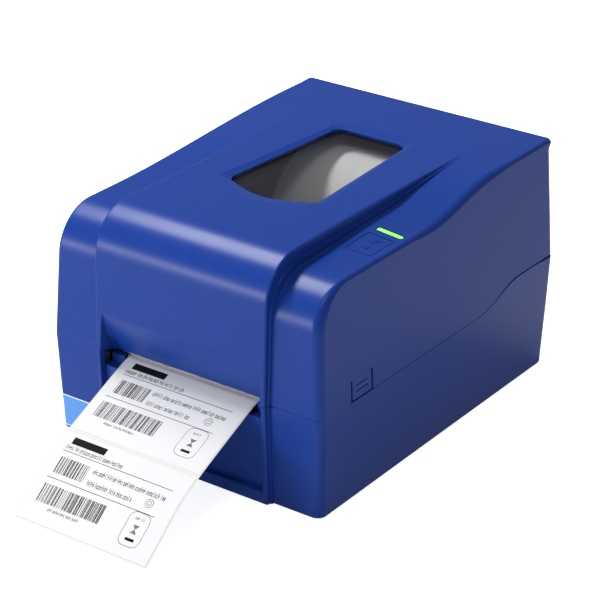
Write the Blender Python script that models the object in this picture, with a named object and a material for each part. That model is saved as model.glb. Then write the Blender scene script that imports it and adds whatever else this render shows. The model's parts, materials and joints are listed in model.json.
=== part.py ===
"""Desktop clamshell thermal-transfer label printer, 4-inch class, with its label roll loaded.

Script units are millimetres, turned into metres when a mesh is made. Places are written as
(x, depth, z): x to the right seen from the front, depth measured back from the foremost face
of the centre band, and z up from the surface the printer stands on.
"""

import math

import bmesh
import bpy
from mathutils import Matrix, Vector

MM = 0.001
FRONT_Y = -93.6
GAP = 0.3

# Outer casing
BODY_TOP = 164.0
BODY_BOTTOM = 0.3
WALL = 2.4
HALF_WIDTH_BOTTOM = 101.9
HALF_WIDTH_PARTING = 103.8
HALF_WIDTH_TOP = 99.2
SHOULDER_TOP = 152.3
LEFT_SHOULDER_TOP = 155.0
BAND_HALF = 65.5
BAND_INNER = 63.5
WINDOW_TOP = 160.6
SCOOP_HALF = 61.5
EDGE_RADIUS = 3.0
REAR_RADIUS = 3.0

# Parting between the lower housing and the lid
PARTING_FRONT = 69.6
PARTING_REAR = 80.8
PARTING_RISE = (187.0, 236.0)
PARTING_GAP = 0.25
REAR_RIM_DROP = 1.3
LIP_Z = 66.0
SILL_Z = 58.8

# Lid hinge
HINGE = (282.0, 82.3)
HINGE_CENTRE_X = 72.0

# Paper path
LABEL_HALF = 50.8
PLATEN = (28.0, 56.0)
PLATEN_RADIUS = 8.0
DECK_TOP = 64.0
WEB_BOTTOM = 64.3
WEB_THICK = 0.3
ROLL = (214.0, 96.0)
ROLL_RADIUS = 52.0
TROUGH_RADIUS = 55.5

# Print-head carriage
CARRIAGE_PIVOT = (148.0, 95.0)
SUPPLY = (95.0, 118.0)
SUPPLY_RADIUS = 27.0
REWIND = (48.0, 122.0)
REWIND_RADIUS = 16.0
ARM = (58.5, 61.0)
PLATE = (66.5, 68.3)

# Gear train on the left side plate
MODULE = 1.0
PLATEN_TEETH = 20
IDLER_TEETH = 30
PINION_TEETH = 10
IDLER = (48.0, 40.7)
PINION = (67.4, 35.0)
GEAR_X = (-75.0, -70.0)

# Controls
BUTTON = (74.2, 92.6, 70.4, 96.2)
LIGHT = (74.9, 93.9, 102.7, 106.9)
TAB = (36.9, 60.9, 84.2)
TAB_SLOT = 1.8
GUIDE_PINION_DEPTH = 106.0
GUIDE_TEETH = 12


# ---------------------------------------------------------------- materials

def material(name, colour, roughness, metallic=0.0, transmission=0.0):
    made = bpy.data.materials.new(name)
    made.use_nodes = True
    shader = made.node_tree.nodes["Principled BSDF"]
    shader.inputs["Base Color"].default_value = (*colour, 1.0)
    shader.inputs["Roughness"].default_value = roughness
    shader.inputs["Metallic"].default_value = metallic
    shader.inputs["Transmission Weight"].default_value = transmission
    return made


def all_materials():
    return {
        "blue_plastic": material("blue_plastic", (0.055, 0.085, 0.30), 0.42),
        "grey_plastic": material("grey_plastic", (0.10, 0.10, 0.11), 0.55),
        "black_plastic": material("black_plastic", (0.02, 0.02, 0.022), 0.5),
        "smoked_window": material("smoked_window", (0.10, 0.10, 0.12), 0.08, 0.0, 0.7),
        "white_paper": material("white_paper", (0.86, 0.86, 0.84), 0.8),
        "liner_paper": material("liner_paper", (0.72, 0.70, 0.62), 0.6),
        "card": material("card", (0.45, 0.35, 0.24), 0.85),
        "rubber": material("rubber", (0.03, 0.03, 0.03), 0.85),
        "steel": material("steel", (0.6, 0.6, 0.6), 0.3, 1.0),
        "aluminium": material("aluminium", (0.7, 0.7, 0.72), 0.35, 1.0),
        "white_nylon": material("white_nylon", (0.8, 0.8, 0.76), 0.5),
        "ribbon_film": material("ribbon_film", (0.01, 0.01, 0.012), 0.25),
        "board": material("board", (0.02, 0.12, 0.05), 0.5),
        "green_light": material("green_light", (0.55, 0.9, 0.35), 0.3),
    }


# ---------------------------------------------------------------- mesh helpers

def at(x, depth, z):
    return Vector((x * MM, (FRONT_Y + depth) * MM, z * MM))


def finish(name, mesh_data, look, origin=None):
    """Makes an object of a bmesh, with its origin at a place given as (x, depth, z)."""
    bmesh.ops.recalc_face_normals(mesh_data, faces=mesh_data.faces)
    place = at(*origin) if origin else Vector((0.0, 0.0, 0.0))
    bmesh.ops.translate(mesh_data, verts=mesh_data.verts, vec=-place)
    mesh = bpy.data.meshes.new(name)
    mesh_data.to_mesh(mesh)
    mesh_data.free()
    mesh.shade_smooth()
    mesh.set_sharp_from_angle(angle=math.radians(32))
    made = bpy.data.objects.new(name, mesh)
    made.location = place
    bpy.context.scene.collection.objects.link(made)
    if look:
        made.data.materials.append(look)
    return made


def helper(made):
    """Marks an object as a cutter or an addition that another object takes in."""
    made.hide_render = True
    made.display_type = "WIRE"
    return made


def combine(target, other, operation="DIFFERENCE"):
    modifier = target.modifiers.new(other.name, "BOOLEAN")
    modifier.operation = operation
    modifier.solver = "EXACT"
    modifier.object = helper(other)


def cut(target, *others):
    for other in others:
        combine(target, other)


def add(target, *others):
    for other in others:
        combine(target, other, "UNION")


def bevel(target, width, segments=2, angle=50):
    modifier = target.modifiers.new("Bevel", "BEVEL")
    modifier.width = width * MM
    modifier.segments = segments
    modifier.limit_method = "ANGLE"
    modifier.angle_limit = math.radians(angle)
    return target


def bridge(mesh_data, lower, upper):
    count = len(lower)
    for index in range(count):
        after = (index + 1) % count
        mesh_data.faces.new((lower[index], lower[after], upper[after], upper[index]))


def loft(name, rings, look=None, closed_loop=False, origin=None):
    """A solid through closed rings of places; closed_loop joins the last ring to the first."""
    made = bmesh.new()
    loops = [[made.verts.new(at(*place)) for place in ring] for ring in rings]
    for lower, upper in zip(loops, loops[1:]):
        bridge(made, lower, upper)
    if closed_loop:
        bridge(made, loops[-1], loops[0])
    else:
        made.faces.new(list(reversed(loops[0])))
        made.faces.new(loops[-1])
    return finish(name, made, look, origin)


def prism_x(name, outline, x_range, look=None, origin=None):
    """Extrudes an outline of (depth, z) points along x."""
    return loft(name, [[(x, depth, z) for depth, z in outline] for x in x_range], look, origin=origin)


def prism_z(name, outline, z_range, look=None, origin=None):
    """Extrudes an outline of (x, depth) points along z."""
    return loft(name, [[(x, depth, z) for x, depth in outline] for z in z_range], look, origin=origin)


def block(name, x_range, depth_range, z_range, look=None, origin=None):
    near, far = depth_range
    low, high = z_range
    return prism_x(name, [(near, low), (far, low), (far, high), (near, high)], x_range, look, origin)


def blocks(name, extents):
    """Separate blocks held as one object, each given by its x, depth and z ranges."""
    made = bmesh.new()
    for ranges in extents:
        middle = at(*[0.5 * (low + high) for low, high in ranges])
        size = [(high - low) * MM for low, high in ranges]
        bmesh.ops.create_cube(made, size=1.0, matrix=Matrix.Translation(middle) @ Matrix.Diagonal((*size, 1.0)))
    return finish(name, made, None)


def circle(centre, radius, count=32, start=0.0):
    turns = [start + 2.0 * math.pi * index / count for index in range(count)]
    return [(centre[0] + radius * math.cos(turn), centre[1] + radius * math.sin(turn)) for turn in turns]


def turned(name, centre, profile, look=None, count=40):
    """Turns a closed outline of (x, radius) points about an axis along x through (depth, z)."""
    rings = []
    for x, radius in profile:
        rings.append([(x, depth, z) for depth, z in circle(centre, radius, count)])
    return loft(name, rings, look, closed_loop=True, origin=(profile[0][0], *centre))


def rod(name, centre, radius, x_range, look=None, count=32):
    return prism_x(name, circle(centre, radius, count), x_range, look, (x_range[0], *centre))


def tube(name, centre, inner, outer, x_range, look=None, count=40):
    near, far = x_range
    return turned(name, centre, [(near, inner), (near, outer), (far, outer), (far, inner)], look, count)


def ribbon(name, path, thickness, half_width, look):
    """A thin sheet of even thickness that follows a path of (depth, z) points."""
    upper = []
    for index, (depth, z) in enumerate(path):
        before = path[max(index - 1, 0)]
        after = path[min(index + 1, len(path) - 1)]
        run = math.hypot(after[0] - before[0], after[1] - before[1])
        across = ((before[1] - after[1]) / run, (after[0] - before[0]) / run)
        side = 1.0 if across[1] > 0 or (across[1] == 0 and across[0] > 0) else -1.0
        upper.append((depth + side * across[0] * thickness, z + side * across[1] * thickness))
    return prism_x(name, path + upper[::-1], (-half_width, half_width), look)


def smooth_curve(points, steps):
    """Catmull-Rom curve through the points."""
    ends = [points[0], *points, points[-1]]
    curve = []
    for first, second, third, fourth in zip(ends, ends[1:], ends[2:], ends[3:]):
        for step in range(steps):
            t = step / steps
            curve.append(tuple(
                0.5 * (2 * b + (c - a) * t + (2 * a - 5 * b + 4 * c - d) * t * t
                       + (3 * b - a - 3 * c + d) * t ** 3)
                for a, b, c, d in zip(first, second, third, fourth)
            ))
    return curve + [points[-1]]


def blend(low, high, value):
    t = min(max((value - low) / (high - low), 0.0), 1.0)
    return t * t * (3.0 - 2.0 * t)


def gear_outline(centre, teeth, phase, backlash=0.3):
    """Straight-flanked teeth; the first tooth points at the phase angle."""
    pitch = MODULE * teeth / 2.0
    tooth = (math.pi * MODULE / 2.0 - backlash) / pitch
    outline = []
    for index in range(teeth):
        middle = phase + 2.0 * math.pi * index / teeth
        for share, radius in ((-0.75, -1.1), (-0.28, 0.75), (0.28, 0.75), (0.75, -1.1)):
            turn = middle + share * tooth
            outline.append((
                centre[0] + (pitch + radius * MODULE) * math.cos(turn),
                centre[1] + (pitch + radius * MODULE) * math.sin(turn),
            ))
    return outline


# ---------------------------------------------------------------- casing surfaces

def parting(depth):
    return PARTING_FRONT + (PARTING_REAR - PARTING_FRONT) * blend(*PARTING_RISE, depth)


def half_width(z):
    if z < PARTING_FRONT:
        share = (z - BODY_BOTTOM) / (PARTING_FRONT - BODY_BOTTOM)
        return HALF_WIDTH_BOTTOM + (HALF_WIDTH_PARTING - HALF_WIDTH_BOTTOM) * share
    share = (z - PARTING_FRONT) / (SHOULDER_TOP - PARTING_FRONT)
    return HALF_WIDTH_PARTING + (HALF_WIDTH_TOP - HALF_WIDTH_PARTING) * share


def band_front(z):
    if z < PARTING_FRONT:
        return 4.2 * (PARTING_FRONT - z) / (PARTING_FRONT - BODY_BOTTOM)
    return (z - PARTING_FRONT) / 65.5


def shoulder_front(z):
    if z < PARTING_FRONT:
        return 4.6 + 3.9 * (PARTING_FRONT - z) / (PARTING_FRONT - BODY_BOTTOM)
    return 4.6 + 1.4 * (z - PARTING_FRONT) / 54.0


def rear_face(z):
    if z < PARTING_REAR:
        return 284.4 - 4.4 * (PARTING_REAR - z) / (PARTING_REAR - BODY_BOTTOM)
    return 284.4 - 3.8 * (z - PARTING_REAR) / (BODY_TOP - PARTING_REAR)


def scoop_face(z):
    """The hollow above the label exit, in the front of the lid."""
    top = 97.5
    share = min(max((top - z) / (top - LIP_Z), 0.0), 1.0)
    return band_front(z) + 15.4 * share ** 1.25


def shoulder_height(x, depth):
    """The top beside the band: a low shelf on the right, a fuller slope on the left."""
    inward = min(max((95.0 - abs(x)) / 28.5, 0.0), 1.0)
    if x < 0.0:
        low = LEFT_SHOULDER_TOP + 8.6 * blend(60.0, 250.0, depth)
        return low + (BODY_TOP - low) * blend(110.0, 215.0, depth) * inward
    rise = blend(126.0 + 4.0 * inward, 208.0 + 14.0 * inward, depth)
    crown = 3.5 * blend(25.0, 135.0, depth) * (1.0 - blend(150.0, 212.0, depth))
    return SHOULDER_TOP + (BODY_TOP - SHOULDER_TOP) * rise + crown * inward


TOP_STATIONS = (46, 66, 82, 99.5, 110, 121, 133, 145, 156, 165, 173, 181, 189, 197, 205, 213, 238, 262)
FRONT_LEVELS = (72.0, 78.0, 84.0, 90.0, 95.0, 98.0, 110.0)
SIDE_STATIONS = (40, 110, 185, 194, 202, 209, 216, 224, 234, 258)
ARC_STEPS = 7


def lid_profile(kind, x, inset):
    """One section of the lid from its front rim over the top to its rear rim."""
    shoulder = kind == "shoulder"
    faces = {"scoop": scoop_face, "deep": scoop_face, "band": band_front, "shoulder": shoulder_front}
    front = faces[kind]
    rim = LIP_Z if kind == "scoop" else PARTING_FRONT + PARTING_GAP
    centre = (36.0, shoulder_height(x, 36.0) - 30.0) if shoulder else (31.0, 134.0)
    radius = 30.0 - inset
    points = [(front(z) + inset, z) for z in (rim, *FRONT_LEVELS)]
    for step in range(ARC_STEPS + 1):
        turn = 0.5 * math.pi * step / ARC_STEPS
        points.append((centre[0] - radius * math.cos(turn), centre[1] + radius * math.sin(turn)))
    for depth in TOP_STATIONS:
        top = shoulder_height(x, depth) if shoulder else BODY_TOP
        points.append((depth, top - inset))
    corner = max(REAR_RADIUS - inset, 1.5)
    rear = rear_face(BODY_TOP) - inset - corner
    for step in range(4):
        turn = 0.5 * math.pi * (1.0 - step / 3.0)
        points.append((rear + corner * math.cos(turn), BODY_TOP - inset - corner + corner * math.sin(turn)))
    for z in (120.0, PARTING_REAR + PARTING_GAP):
        points.append((rear_face(z) - inset, z))
    return points


def corner_radius(wall):
    return max(EDGE_RADIUS - wall, 1.0)


def lid_columns(inner, side):
    """The sections across one half of the lid, each as a list of (x, depth, z) places."""
    wall = WALL if inner else 0.0
    if inner:
        flat = [(x, "scoop", 0.0) for x in (0.0, 30.0, 59.0, BAND_INNER - 0.4)]
        flat += [(BAND_INNER - step, "deep", 0.0) for step in (0.3, 0.2, 0.1, 0.0)]
    else:
        flat = [(x, "scoop", 0.0) for x in (0.0, 30.0, 59.0, SCOOP_HALF)]
        flat += [(SCOOP_HALF + 0.1, "band", 0.0), (BAND_HALF - 1.2, "band", 0.0)]
        flat += [(BAND_HALF - 0.35, "band", 0.35), (BAND_HALF, "band", 1.2)]
    flat += [(BAND_HALF + 0.3 - wall * 0.7, "shoulder", 0.0), (71.5, "shoulder", 0.0)]
    columns = []
    for x, kind, inset in flat:
        columns.append([(side * x, *point) for point in lid_profile(kind, side * x, inset + wall)])
    radius = corner_radius(wall)
    for step in range(4):
        turn = 0.5 * math.pi * step / 3.0
        profile = lid_profile("shoulder", side * 95.0, wall + radius * (1.0 - math.cos(turn)))
        reach = radius * (1.0 - math.sin(turn)) + wall
        columns.append([(side * (half_width(z) - reach), depth, z) for depth, z in profile])
    return columns


def lid_skin(mesh_data, inner):
    """One skin of the lid and its rim loop, which runs round it once."""
    right = lid_columns(inner, 1)
    left = lid_columns(inner, -1)[:0:-1]
    grid = [[mesh_data.verts.new(at(*place)) for place in column] for column in left + right]
    for near, far in zip(grid, grid[1:]):
        for index in range(len(near) - 1):
            mesh_data.faces.new((near[index], near[index + 1], far[index + 1], far[index]))
    wall = WALL if inner else 0.0
    edges = {}
    for side, column in ((-1, grid[0]), (1, grid[-1])):
        edge = []
        for depth in SIDE_STATIONS:
            z = parting(depth) + PARTING_GAP
            edge.append(mesh_data.verts.new(at(side * (half_width(z) - wall), depth, z)))
        mesh_data.faces.new(column + edge[::-1])
        edges[side] = edge
    front = [column[0] for column in grid]
    rear = [column[-1] for column in grid]
    return front + edges[1] + rear[::-1] + edges[-1][::-1]


def lid_blank(name, look):
    made = bmesh.new()
    bridge(made, lid_skin(made, False), lid_skin(made, True))
    return finish(name, made, look)


def housing_outline(z, inner):
    """The wall of the lower housing seen from above, once round from the front centre."""
    wall = WALL if inner else 0.0
    band = band_front(z) + (3.7 if inner else 0.0)
    front = shoulder_front(z) + wall
    rear = rear_face(z) - wall
    side = half_width(z) - wall
    edge = BAND_INNER if inner else BAND_HALF
    half = [(0.0, band), (30.0, band), (edge - 1.2, band), (edge, band + 1.2), (edge + 0.3, front), (80.0, front)]
    radius = corner_radius(wall)
    for step in range(4):
        turn = 0.5 * math.pi * step / 3.0
        half.append((side - radius * (1.0 - math.sin(turn)), front + radius * (1.0 - math.cos(turn))))
    half += [(side, float(depth)) for depth in SIDE_STATIONS]
    for step in range(4):
        turn = 0.5 * math.pi * step / 3.0
        half.append((side - radius * (1.0 - math.cos(turn)), rear - radius * (1.0 - math.sin(turn))))
    half += [(86.0, rear), (58.0, rear), (0.0, rear)]
    return half + [(-x, depth) for x, depth in half[-2:0:-1]]


def housing_ring(z, inner):
    """A ring of the lower housing at a height, or along its rim where z is None."""
    ring = []
    level = PARTING_FRONT if z is None else z
    for x, depth in housing_outline(level, inner):
        height = z
        if z is None:
            drop = REAR_RIM_DROP if depth > 262.0 else 0.0
            height = parting(depth) - PARTING_GAP - drop
        ring.append((x, depth, height))
    return ring


# ---------------------------------------------------------------- casing parts

def knuckle(name, side, near, far, z_range):
    """One hinge knuckle with the web that roots it in a casing wall."""
    span = sorted((side * near, side * far))
    eye = rod(name, HINGE, 3.0, span, count=24)
    root = (span[0] + 0.1, span[1] - 0.1)
    web = block(name + "_web", root, (HINGE[0] - 1.6, HINGE[0] + 1.2), z_range)
    return eye, web


def lower_housing(look):
    rings = [housing_ring(BODY_BOTTOM, False), housing_ring(None, False)]
    rings += [housing_ring(None, True), housing_ring(BODY_BOTTOM, True)]
    made = loft("lower_housing", rings, look, closed_loop=True)
    half = SCOOP_HALF + 0.45
    cut(made, block("front_opening", (-half, half), (-5.0, 5.6), (8.5, 80.0)))
    for side in (-1, 1):
        tag = "right" if side > 0 else "left"
        notch = sorted((side * 58.0, side * 86.0))
        cut(made, block("rear_notch_" + tag, notch, (276.0, 294.0), (77.3, 92.0)))
        for near, far in ((58.2, 65.4), (78.6, 85.8)):
            name = "housing_knuckle_%s_%d" % (tag, near)
            add(made, *knuckle(name, side, near, far, (76.5, 81.0)))
        cut(made, rod("housing_bore_" + tag, HINGE, 1.5, sorted((side * 56.0, side * 88.0)), count=20))
    cut(made, block("jack_hole", (59.5, 73.5), (272.0, 294.0), (15.5, 29.5)))
    cut(made, block("usb_hole", (29.5, 43.5), (272.0, 294.0), (15.5, 28.5)))
    cut(made, block("switch_hole", (-74.5, -57.5), (272.0, 294.0), (15.5, 38.5)))
    cut(made, block("fanfold_slot", (-55.0, 55.0), (272.0, 294.0), (64.5, 74.0)))
    return made


def tapered_outline(rear, front, wide, narrow, bow, radius):
    """An outline narrowing to the rear, bowed forward at the front, with rounded corners."""
    points = []
    for step in range(5):
        turn = 0.5 * math.pi * step / 4.0
        points.append((narrow - radius + radius * math.cos(turn), rear - radius + radius * math.sin(turn)))
    points += [(-x, depth) for x, depth in points[::-1]]
    corner = []
    for step in range(5):
        turn = 0.5 * math.pi * step / 4.0
        corner.append((wide - radius + radius * math.cos(turn), front + radius - radius * math.sin(turn)))
    points += [(-x, depth) for x, depth in corner]
    for step in range(1, 8):
        share = step / 8.0
        x = (wide - radius) * (2.0 * share - 1.0)
        points.append((x, front - bow * math.sin(math.pi * share)))
    return points + corner[::-1]


def window_outline(margin):
    return tapered_outline(212.0 - margin, 94.5 + margin, 34.0 - margin, 28.0 - margin, 9.0, 8.0)


def lid_shell(look):
    made = lid_blank("lid_shell", look)
    add(made, prism_z("window_collar", window_outline(-5.0), (WINDOW_TOP + GAP, BODY_TOP - WALL + 0.2)))
    rim = tapered_outline(220.5, 90.0, 40.0, 31.0, 14.0, 9.0)
    sink = [(window_outline(0.0), 150.0), (window_outline(0.0), BODY_TOP - 1.8)]
    sink += [(rim, BODY_TOP + 0.02), (rim, BODY_TOP + 4.0)]
    cut(made, loft("window_recess", [[(x, depth, z) for x, depth in outline] for outline, z in sink]))
    for side in (-1, 1):
        tag = "right" if side > 0 else "left"
        span = sorted((side * 94.0, side * 108.0))
        front, rear, top = TAB
        cut(made, block("tab_opening_" + tag, span, (front, rear), (60.0, top + GAP)))
        notch = sorted((side * 58.0, side * 86.0))
        cut(made, block("lid_notch_" + tag, notch, (275.0, 294.0), (70.0, 86.5)))
        add(made, *knuckle("lid_knuckle_" + tag, side, 65.8, 78.2, (81.5, 88.5)))
        cut(made, rod("lid_bore_" + tag, HINGE, 1.5, sorted((side * 56.0, side * 88.0)), count=20))
    wells = []
    for left, right, front, rear in (BUTTON, LIGHT):
        wells.append(((left - GAP, right + GAP), (front - GAP, rear + GAP), (140.0, 170.0)))
    cut(made, blocks("control_wells", wells))
    return made


def shoulder_piece(name, extents, depth_below, look, inset=0.0, drop=0.0):
    """A piece let into the right shoulder, its top following the shoulder's surface."""
    left, right, front, rear = extents
    sections = []
    for x in (left, 0.5 * (left + right), right):
        stations = [front + (rear - front) * step / 3.0 for step in range(4)]
        top = [(x, depth, shoulder_height(x, depth) - drop) for depth in stations]
        sections.append([(x, rear, SHOULDER_TOP - depth_below), (x, front, SHOULDER_TOP - depth_below)] + top)
    return bevel(loft(name, sections, look), 0.5 + inset, 2, 60)


def lid_tab(side, look):
    """A latch tab in the lid's side wall, with two finger grooves across it."""
    tag = "right" if side > 0 else "left"
    front, rear, top = TAB
    low = PARTING_FRONT + 0.9
    section = [(side * (half_width(low) - WALL), low), (side * (half_width(low)), low)]
    section += [(side * half_width(top), top), (side * (half_width(top) - WALL), top)]
    ends = (front + TAB_SLOT, rear - TAB_SLOT)
    rings = [[(x, depth, z) for x, z in section] for depth in ends]
    made = loft("lid_tab_" + tag, rings, look, origin=(side * half_width(top), front, top))
    for line, height in (("lower", 75.0), ("upper", 78.5)):
        name = "tab_groove_%s_%s" % (tag, line)
        span = sorted((side * (half_width(height) - 0.5), side * 108.0))
        cut(made, block(name, span, (ends[0] + 2.0, ends[1] - 2.0), (height, height + 0.6)))
    return made


def casing(looks):
    blue = looks["blue_plastic"]
    lower_housing(blue)
    lid_shell(blue)
    prism_z("window", window_outline(-4.0), (WINDOW_TOP - 1.9, WINDOW_TOP), looks["smoked_window"])
    face = [(band_front(z) + 4.0, z) for z in (5.2, SILL_Z)]
    back = [(depth + 2.5, z) for depth, z in face[::-1]]
    panel = prism_x("front_panel", face + back, (-62.2, 62.2), blue)
    shelf = SILL_Z - 0.2
    cheek = [(5.0, 57.0), (15.4, 57.0), (15.4, 64.6), (11.5, 64.6), (11.5, shelf), (5.0, shelf)]
    for side in (-1, 1):
        name = "panel_cheek_" + ("right" if side > 0 else "left")
        add(panel, prism_x(name, cheek, sorted((side * 51.9, side * 62.2))))
    plate = block("bottom_plate", (-95.5, 95.5), (13.0, 272.5), (2.3, 4.8), looks["black_plastic"])
    corners = plate.modifiers.new("Corners", "BEVEL")
    corners.width = 4.0 * MM
    corners.segments = 3
    corners.limit_method = "ANGLE"
    for side in (-1, 1):
        tag = "right" if side > 0 else "left"
        for place, depth in (("front", 36.0), ("rear", 250.0)):
            name = "foot_%s_%s" % (place, tag)
            prism_z(name, circle((side * 78.0, depth), 8.0, 28), (0.0, 2.0), looks["rubber"])
        head = circle((side * 60.0, 143.0), 2.6, 16)
        prism_z("screw_" + tag, head, (1.0, 2.0), looks["steel"])
        pin = sorted((side * 57.6, side * 86.4))
        rod("hinge_pin_" + tag, HINGE, 1.2, pin, looks["steel"], 16)
        lid_tab(side, blue)
        span = sorted((side * 69.0, side * 95.5))
        inner = block("inner_cover_" + tag, span, (41.0, 268.0), (61.5, 64.0), looks["grey_plastic"])
        cut(inner, prism_z("inner_cover_notch_" + tag, circle((side * 68.0, ROLL[0]), 8.0, 16), (50.0, 70.0)))
    shoulder_piece("feed_button", BUTTON, 9.0, blue)
    shoulder_piece("status_light", LIGHT, 6.0, looks["green_light"], drop=0.2)


# ---------------------------------------------------------------- inside parts

def web_path():
    """The under-side of the liner from the roll over the deck and out of the printer."""
    top_tangent = math.atan2(ROLL[1] - WEB_BOTTOM, ROLL[0] - 140.0)
    reach = math.hypot(ROLL[1] - WEB_BOTTOM, ROLL[0] - 140.0)
    steep = top_tangent + math.asin((ROLL_RADIUS + 0.8) / reach)
    run = math.sqrt(reach ** 2 - (ROLL_RADIUS + 0.8) ** 2)
    start = (140.0 + run * math.cos(steep), WEB_BOTTOM + run * math.sin(steep))
    bend = (141.0 + 9.0 * math.cos(steep), WEB_BOTTOM + 9.0 * math.sin(steep))
    inside = smooth_curve([bend, (141.5, WEB_BOTTOM + 2.0), (133.0, WEB_BOTTOM)], 4)
    hang = [(24.0, WEB_BOTTOM), (16.0, 64.1), (8.0, 61.6), (-15.0, 51.7), (-47.0, 37.1)]
    hang += [(-64.0, 27.4), (-82.0, 12.8), (-97.6, 0.3)]
    return [start] + inside + smooth_curve(hang, 4)


def offset_path(path, amount):
    moved = []
    for index, (depth, z) in enumerate(path):
        before = path[max(index - 1, 0)]
        after = path[min(index + 1, len(path) - 1)]
        run = math.hypot(after[0] - before[0], after[1] - before[1])
        moved.append((depth + amount * (before[1] - after[1]) / run * -1.0,
                      z + amount * (after[0] - before[0]) / run * -1.0))
    return moved


def part_of_path(path, near, far):
    """The points between two lengths, measured back from the far end of the path."""
    lengths = [0.0]
    backward = path[::-1]
    for first, second in zip(backward, backward[1:]):
        lengths.append(lengths[-1] + math.dist(first, second))
    picked = []
    for target in [near + (far - near) * step / 14.0 for step in range(15)]:
        index = max(i for i, length in enumerate(lengths[:-1]) if length <= target)
        share = (target - lengths[index]) / (lengths[index + 1] - lengths[index])
        picked.append(tuple(a + (b - a) * share for a, b in zip(backward[index], backward[index + 1])))
    return picked[::-1]


def paper(looks):
    path = web_path()
    ribbon("liner_web", path, WEB_THICK, LABEL_HALF, looks["liner_paper"])
    over = offset_path(path, WEB_THICK + 0.12)
    ribbon("label_front", part_of_path(over, 1.0, 63.5), 0.2, LABEL_HALF - 1.0, looks["white_paper"])
    ribbon("label_rear", part_of_path(over, 66.5, 129.0), 0.2, LABEL_HALF - 1.0, looks["white_paper"])
    tube("label_roll", ROLL, 14.4, ROLL_RADIUS, (-LABEL_HALF, LABEL_HALF), looks["white_paper"], 64)
    tube("roll_core", ROLL, 12.7, 14.1, (-LABEL_HALF, LABEL_HALF), looks["card"])
    rod("roll_spindle", ROLL, 6.0, (-72.0, 72.0), looks["grey_plastic"])
    for side in (-1, 1):
        tag = "right" if side > 0 else "left"
        profile = [(side * x, radius) for x, radius in
                   ((46.0, 6.3), (46.0, 12.3), (51.3, 12.3), (51.3, 34.0), (53.8, 34.0), (53.8, 6.3))]
        turned("roll_tab_" + tag, ROLL, profile, looks["grey_plastic"])


def media_tray(look):
    """The deck under the web and the trough that the roll hangs in."""
    half = 65.8
    made = block("media_tray", (-half, half), (41.0, 271.8), (61.5, DECK_TOP), look)
    add(made, rod("trough_outside", ROLL, TROUGH_RADIUS + 2.3, (-half + 0.05, half - 0.05), count=64))
    cut(made, rod("trough_inside", ROLL, TROUGH_RADIUS, (-half + 2.2, half - 2.2), count=64))
    cut(made, block("trough_top", (-90.0, 90.0), (140.0, 290.0), (DECK_TOP + 0.01, 160.0)))
    cut(made, block("sensor_slot", (-46.0, 46.0), (58.0, 66.0), (55.0, 70.0)))
    for side in (-1, 1):
        name = "guide_slot_" + ("right" if side > 0 else "left")
        cut(made, block(name, sorted((side * 50.0, side * 60.0)), (103.5, 108.5), (55.0, 70.0)))
    cut(made, prism_z("guide_pinion_bore", circle((0.0, GUIDE_PINION_DEPTH), 2.2, 16), (55.0, 62.6)))
    return made


def side_plate(side, look):
    """Steel plate that carries the platen, the carriage pivot and the roll spindle."""
    tag = "right" if side > 0 else "left"
    outline = [(17.0, 45.0), (17.0, 62.5), (122.0, 62.5), (139.0, 103.0), (157.0, 103.0), (166.0, 66.0)]
    outline += [(202.0, 66.0), (202.0, 101.0), (207.6, 101.0), (207.6, ROLL[1])]
    outline += [(ROLL[0] - 6.4 * math.cos(turn), ROLL[1] - 6.4 * math.sin(turn))
                for turn in [math.pi * step / 8.0 for step in range(1, 8)]]
    outline += [(220.4, ROLL[1]), (220.4, 101.0), (226.0, 101.0), (226.0, 66.0), (258.0, 66.0)]
    outline += [(258.0, 12.0), (70.0, 12.0), (40.0, 26.0)]
    span = sorted((side * PLATE[0], side * PLATE[1]))
    made = prism_x("side_plate_" + tag, outline, span, look)
    through = sorted((side * 60.0, side * 80.0))
    cut(made, rod("bush_hole_" + tag, PLATEN, 5.3, through, count=24))
    cut(made, rod("pivot_hole_" + tag, CARRIAGE_PIVOT, 3.3, through, count=24))
    cut(made, rod("plate_lightening_" + tag, (120.0, 38.0), 15.0, through, count=32))
    cut(made, rod("plate_lightening_rear_" + tag, (200.0, 36.0), 15.0, through, count=32))
    if side < 0:
        cut(made, rod("motor_hole", PINION, 4.0, through, count=24))
        add(made, rod("idler_stub", IDLER, 2.0, (-76.0, -67.0), count=20))
    return made


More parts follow.
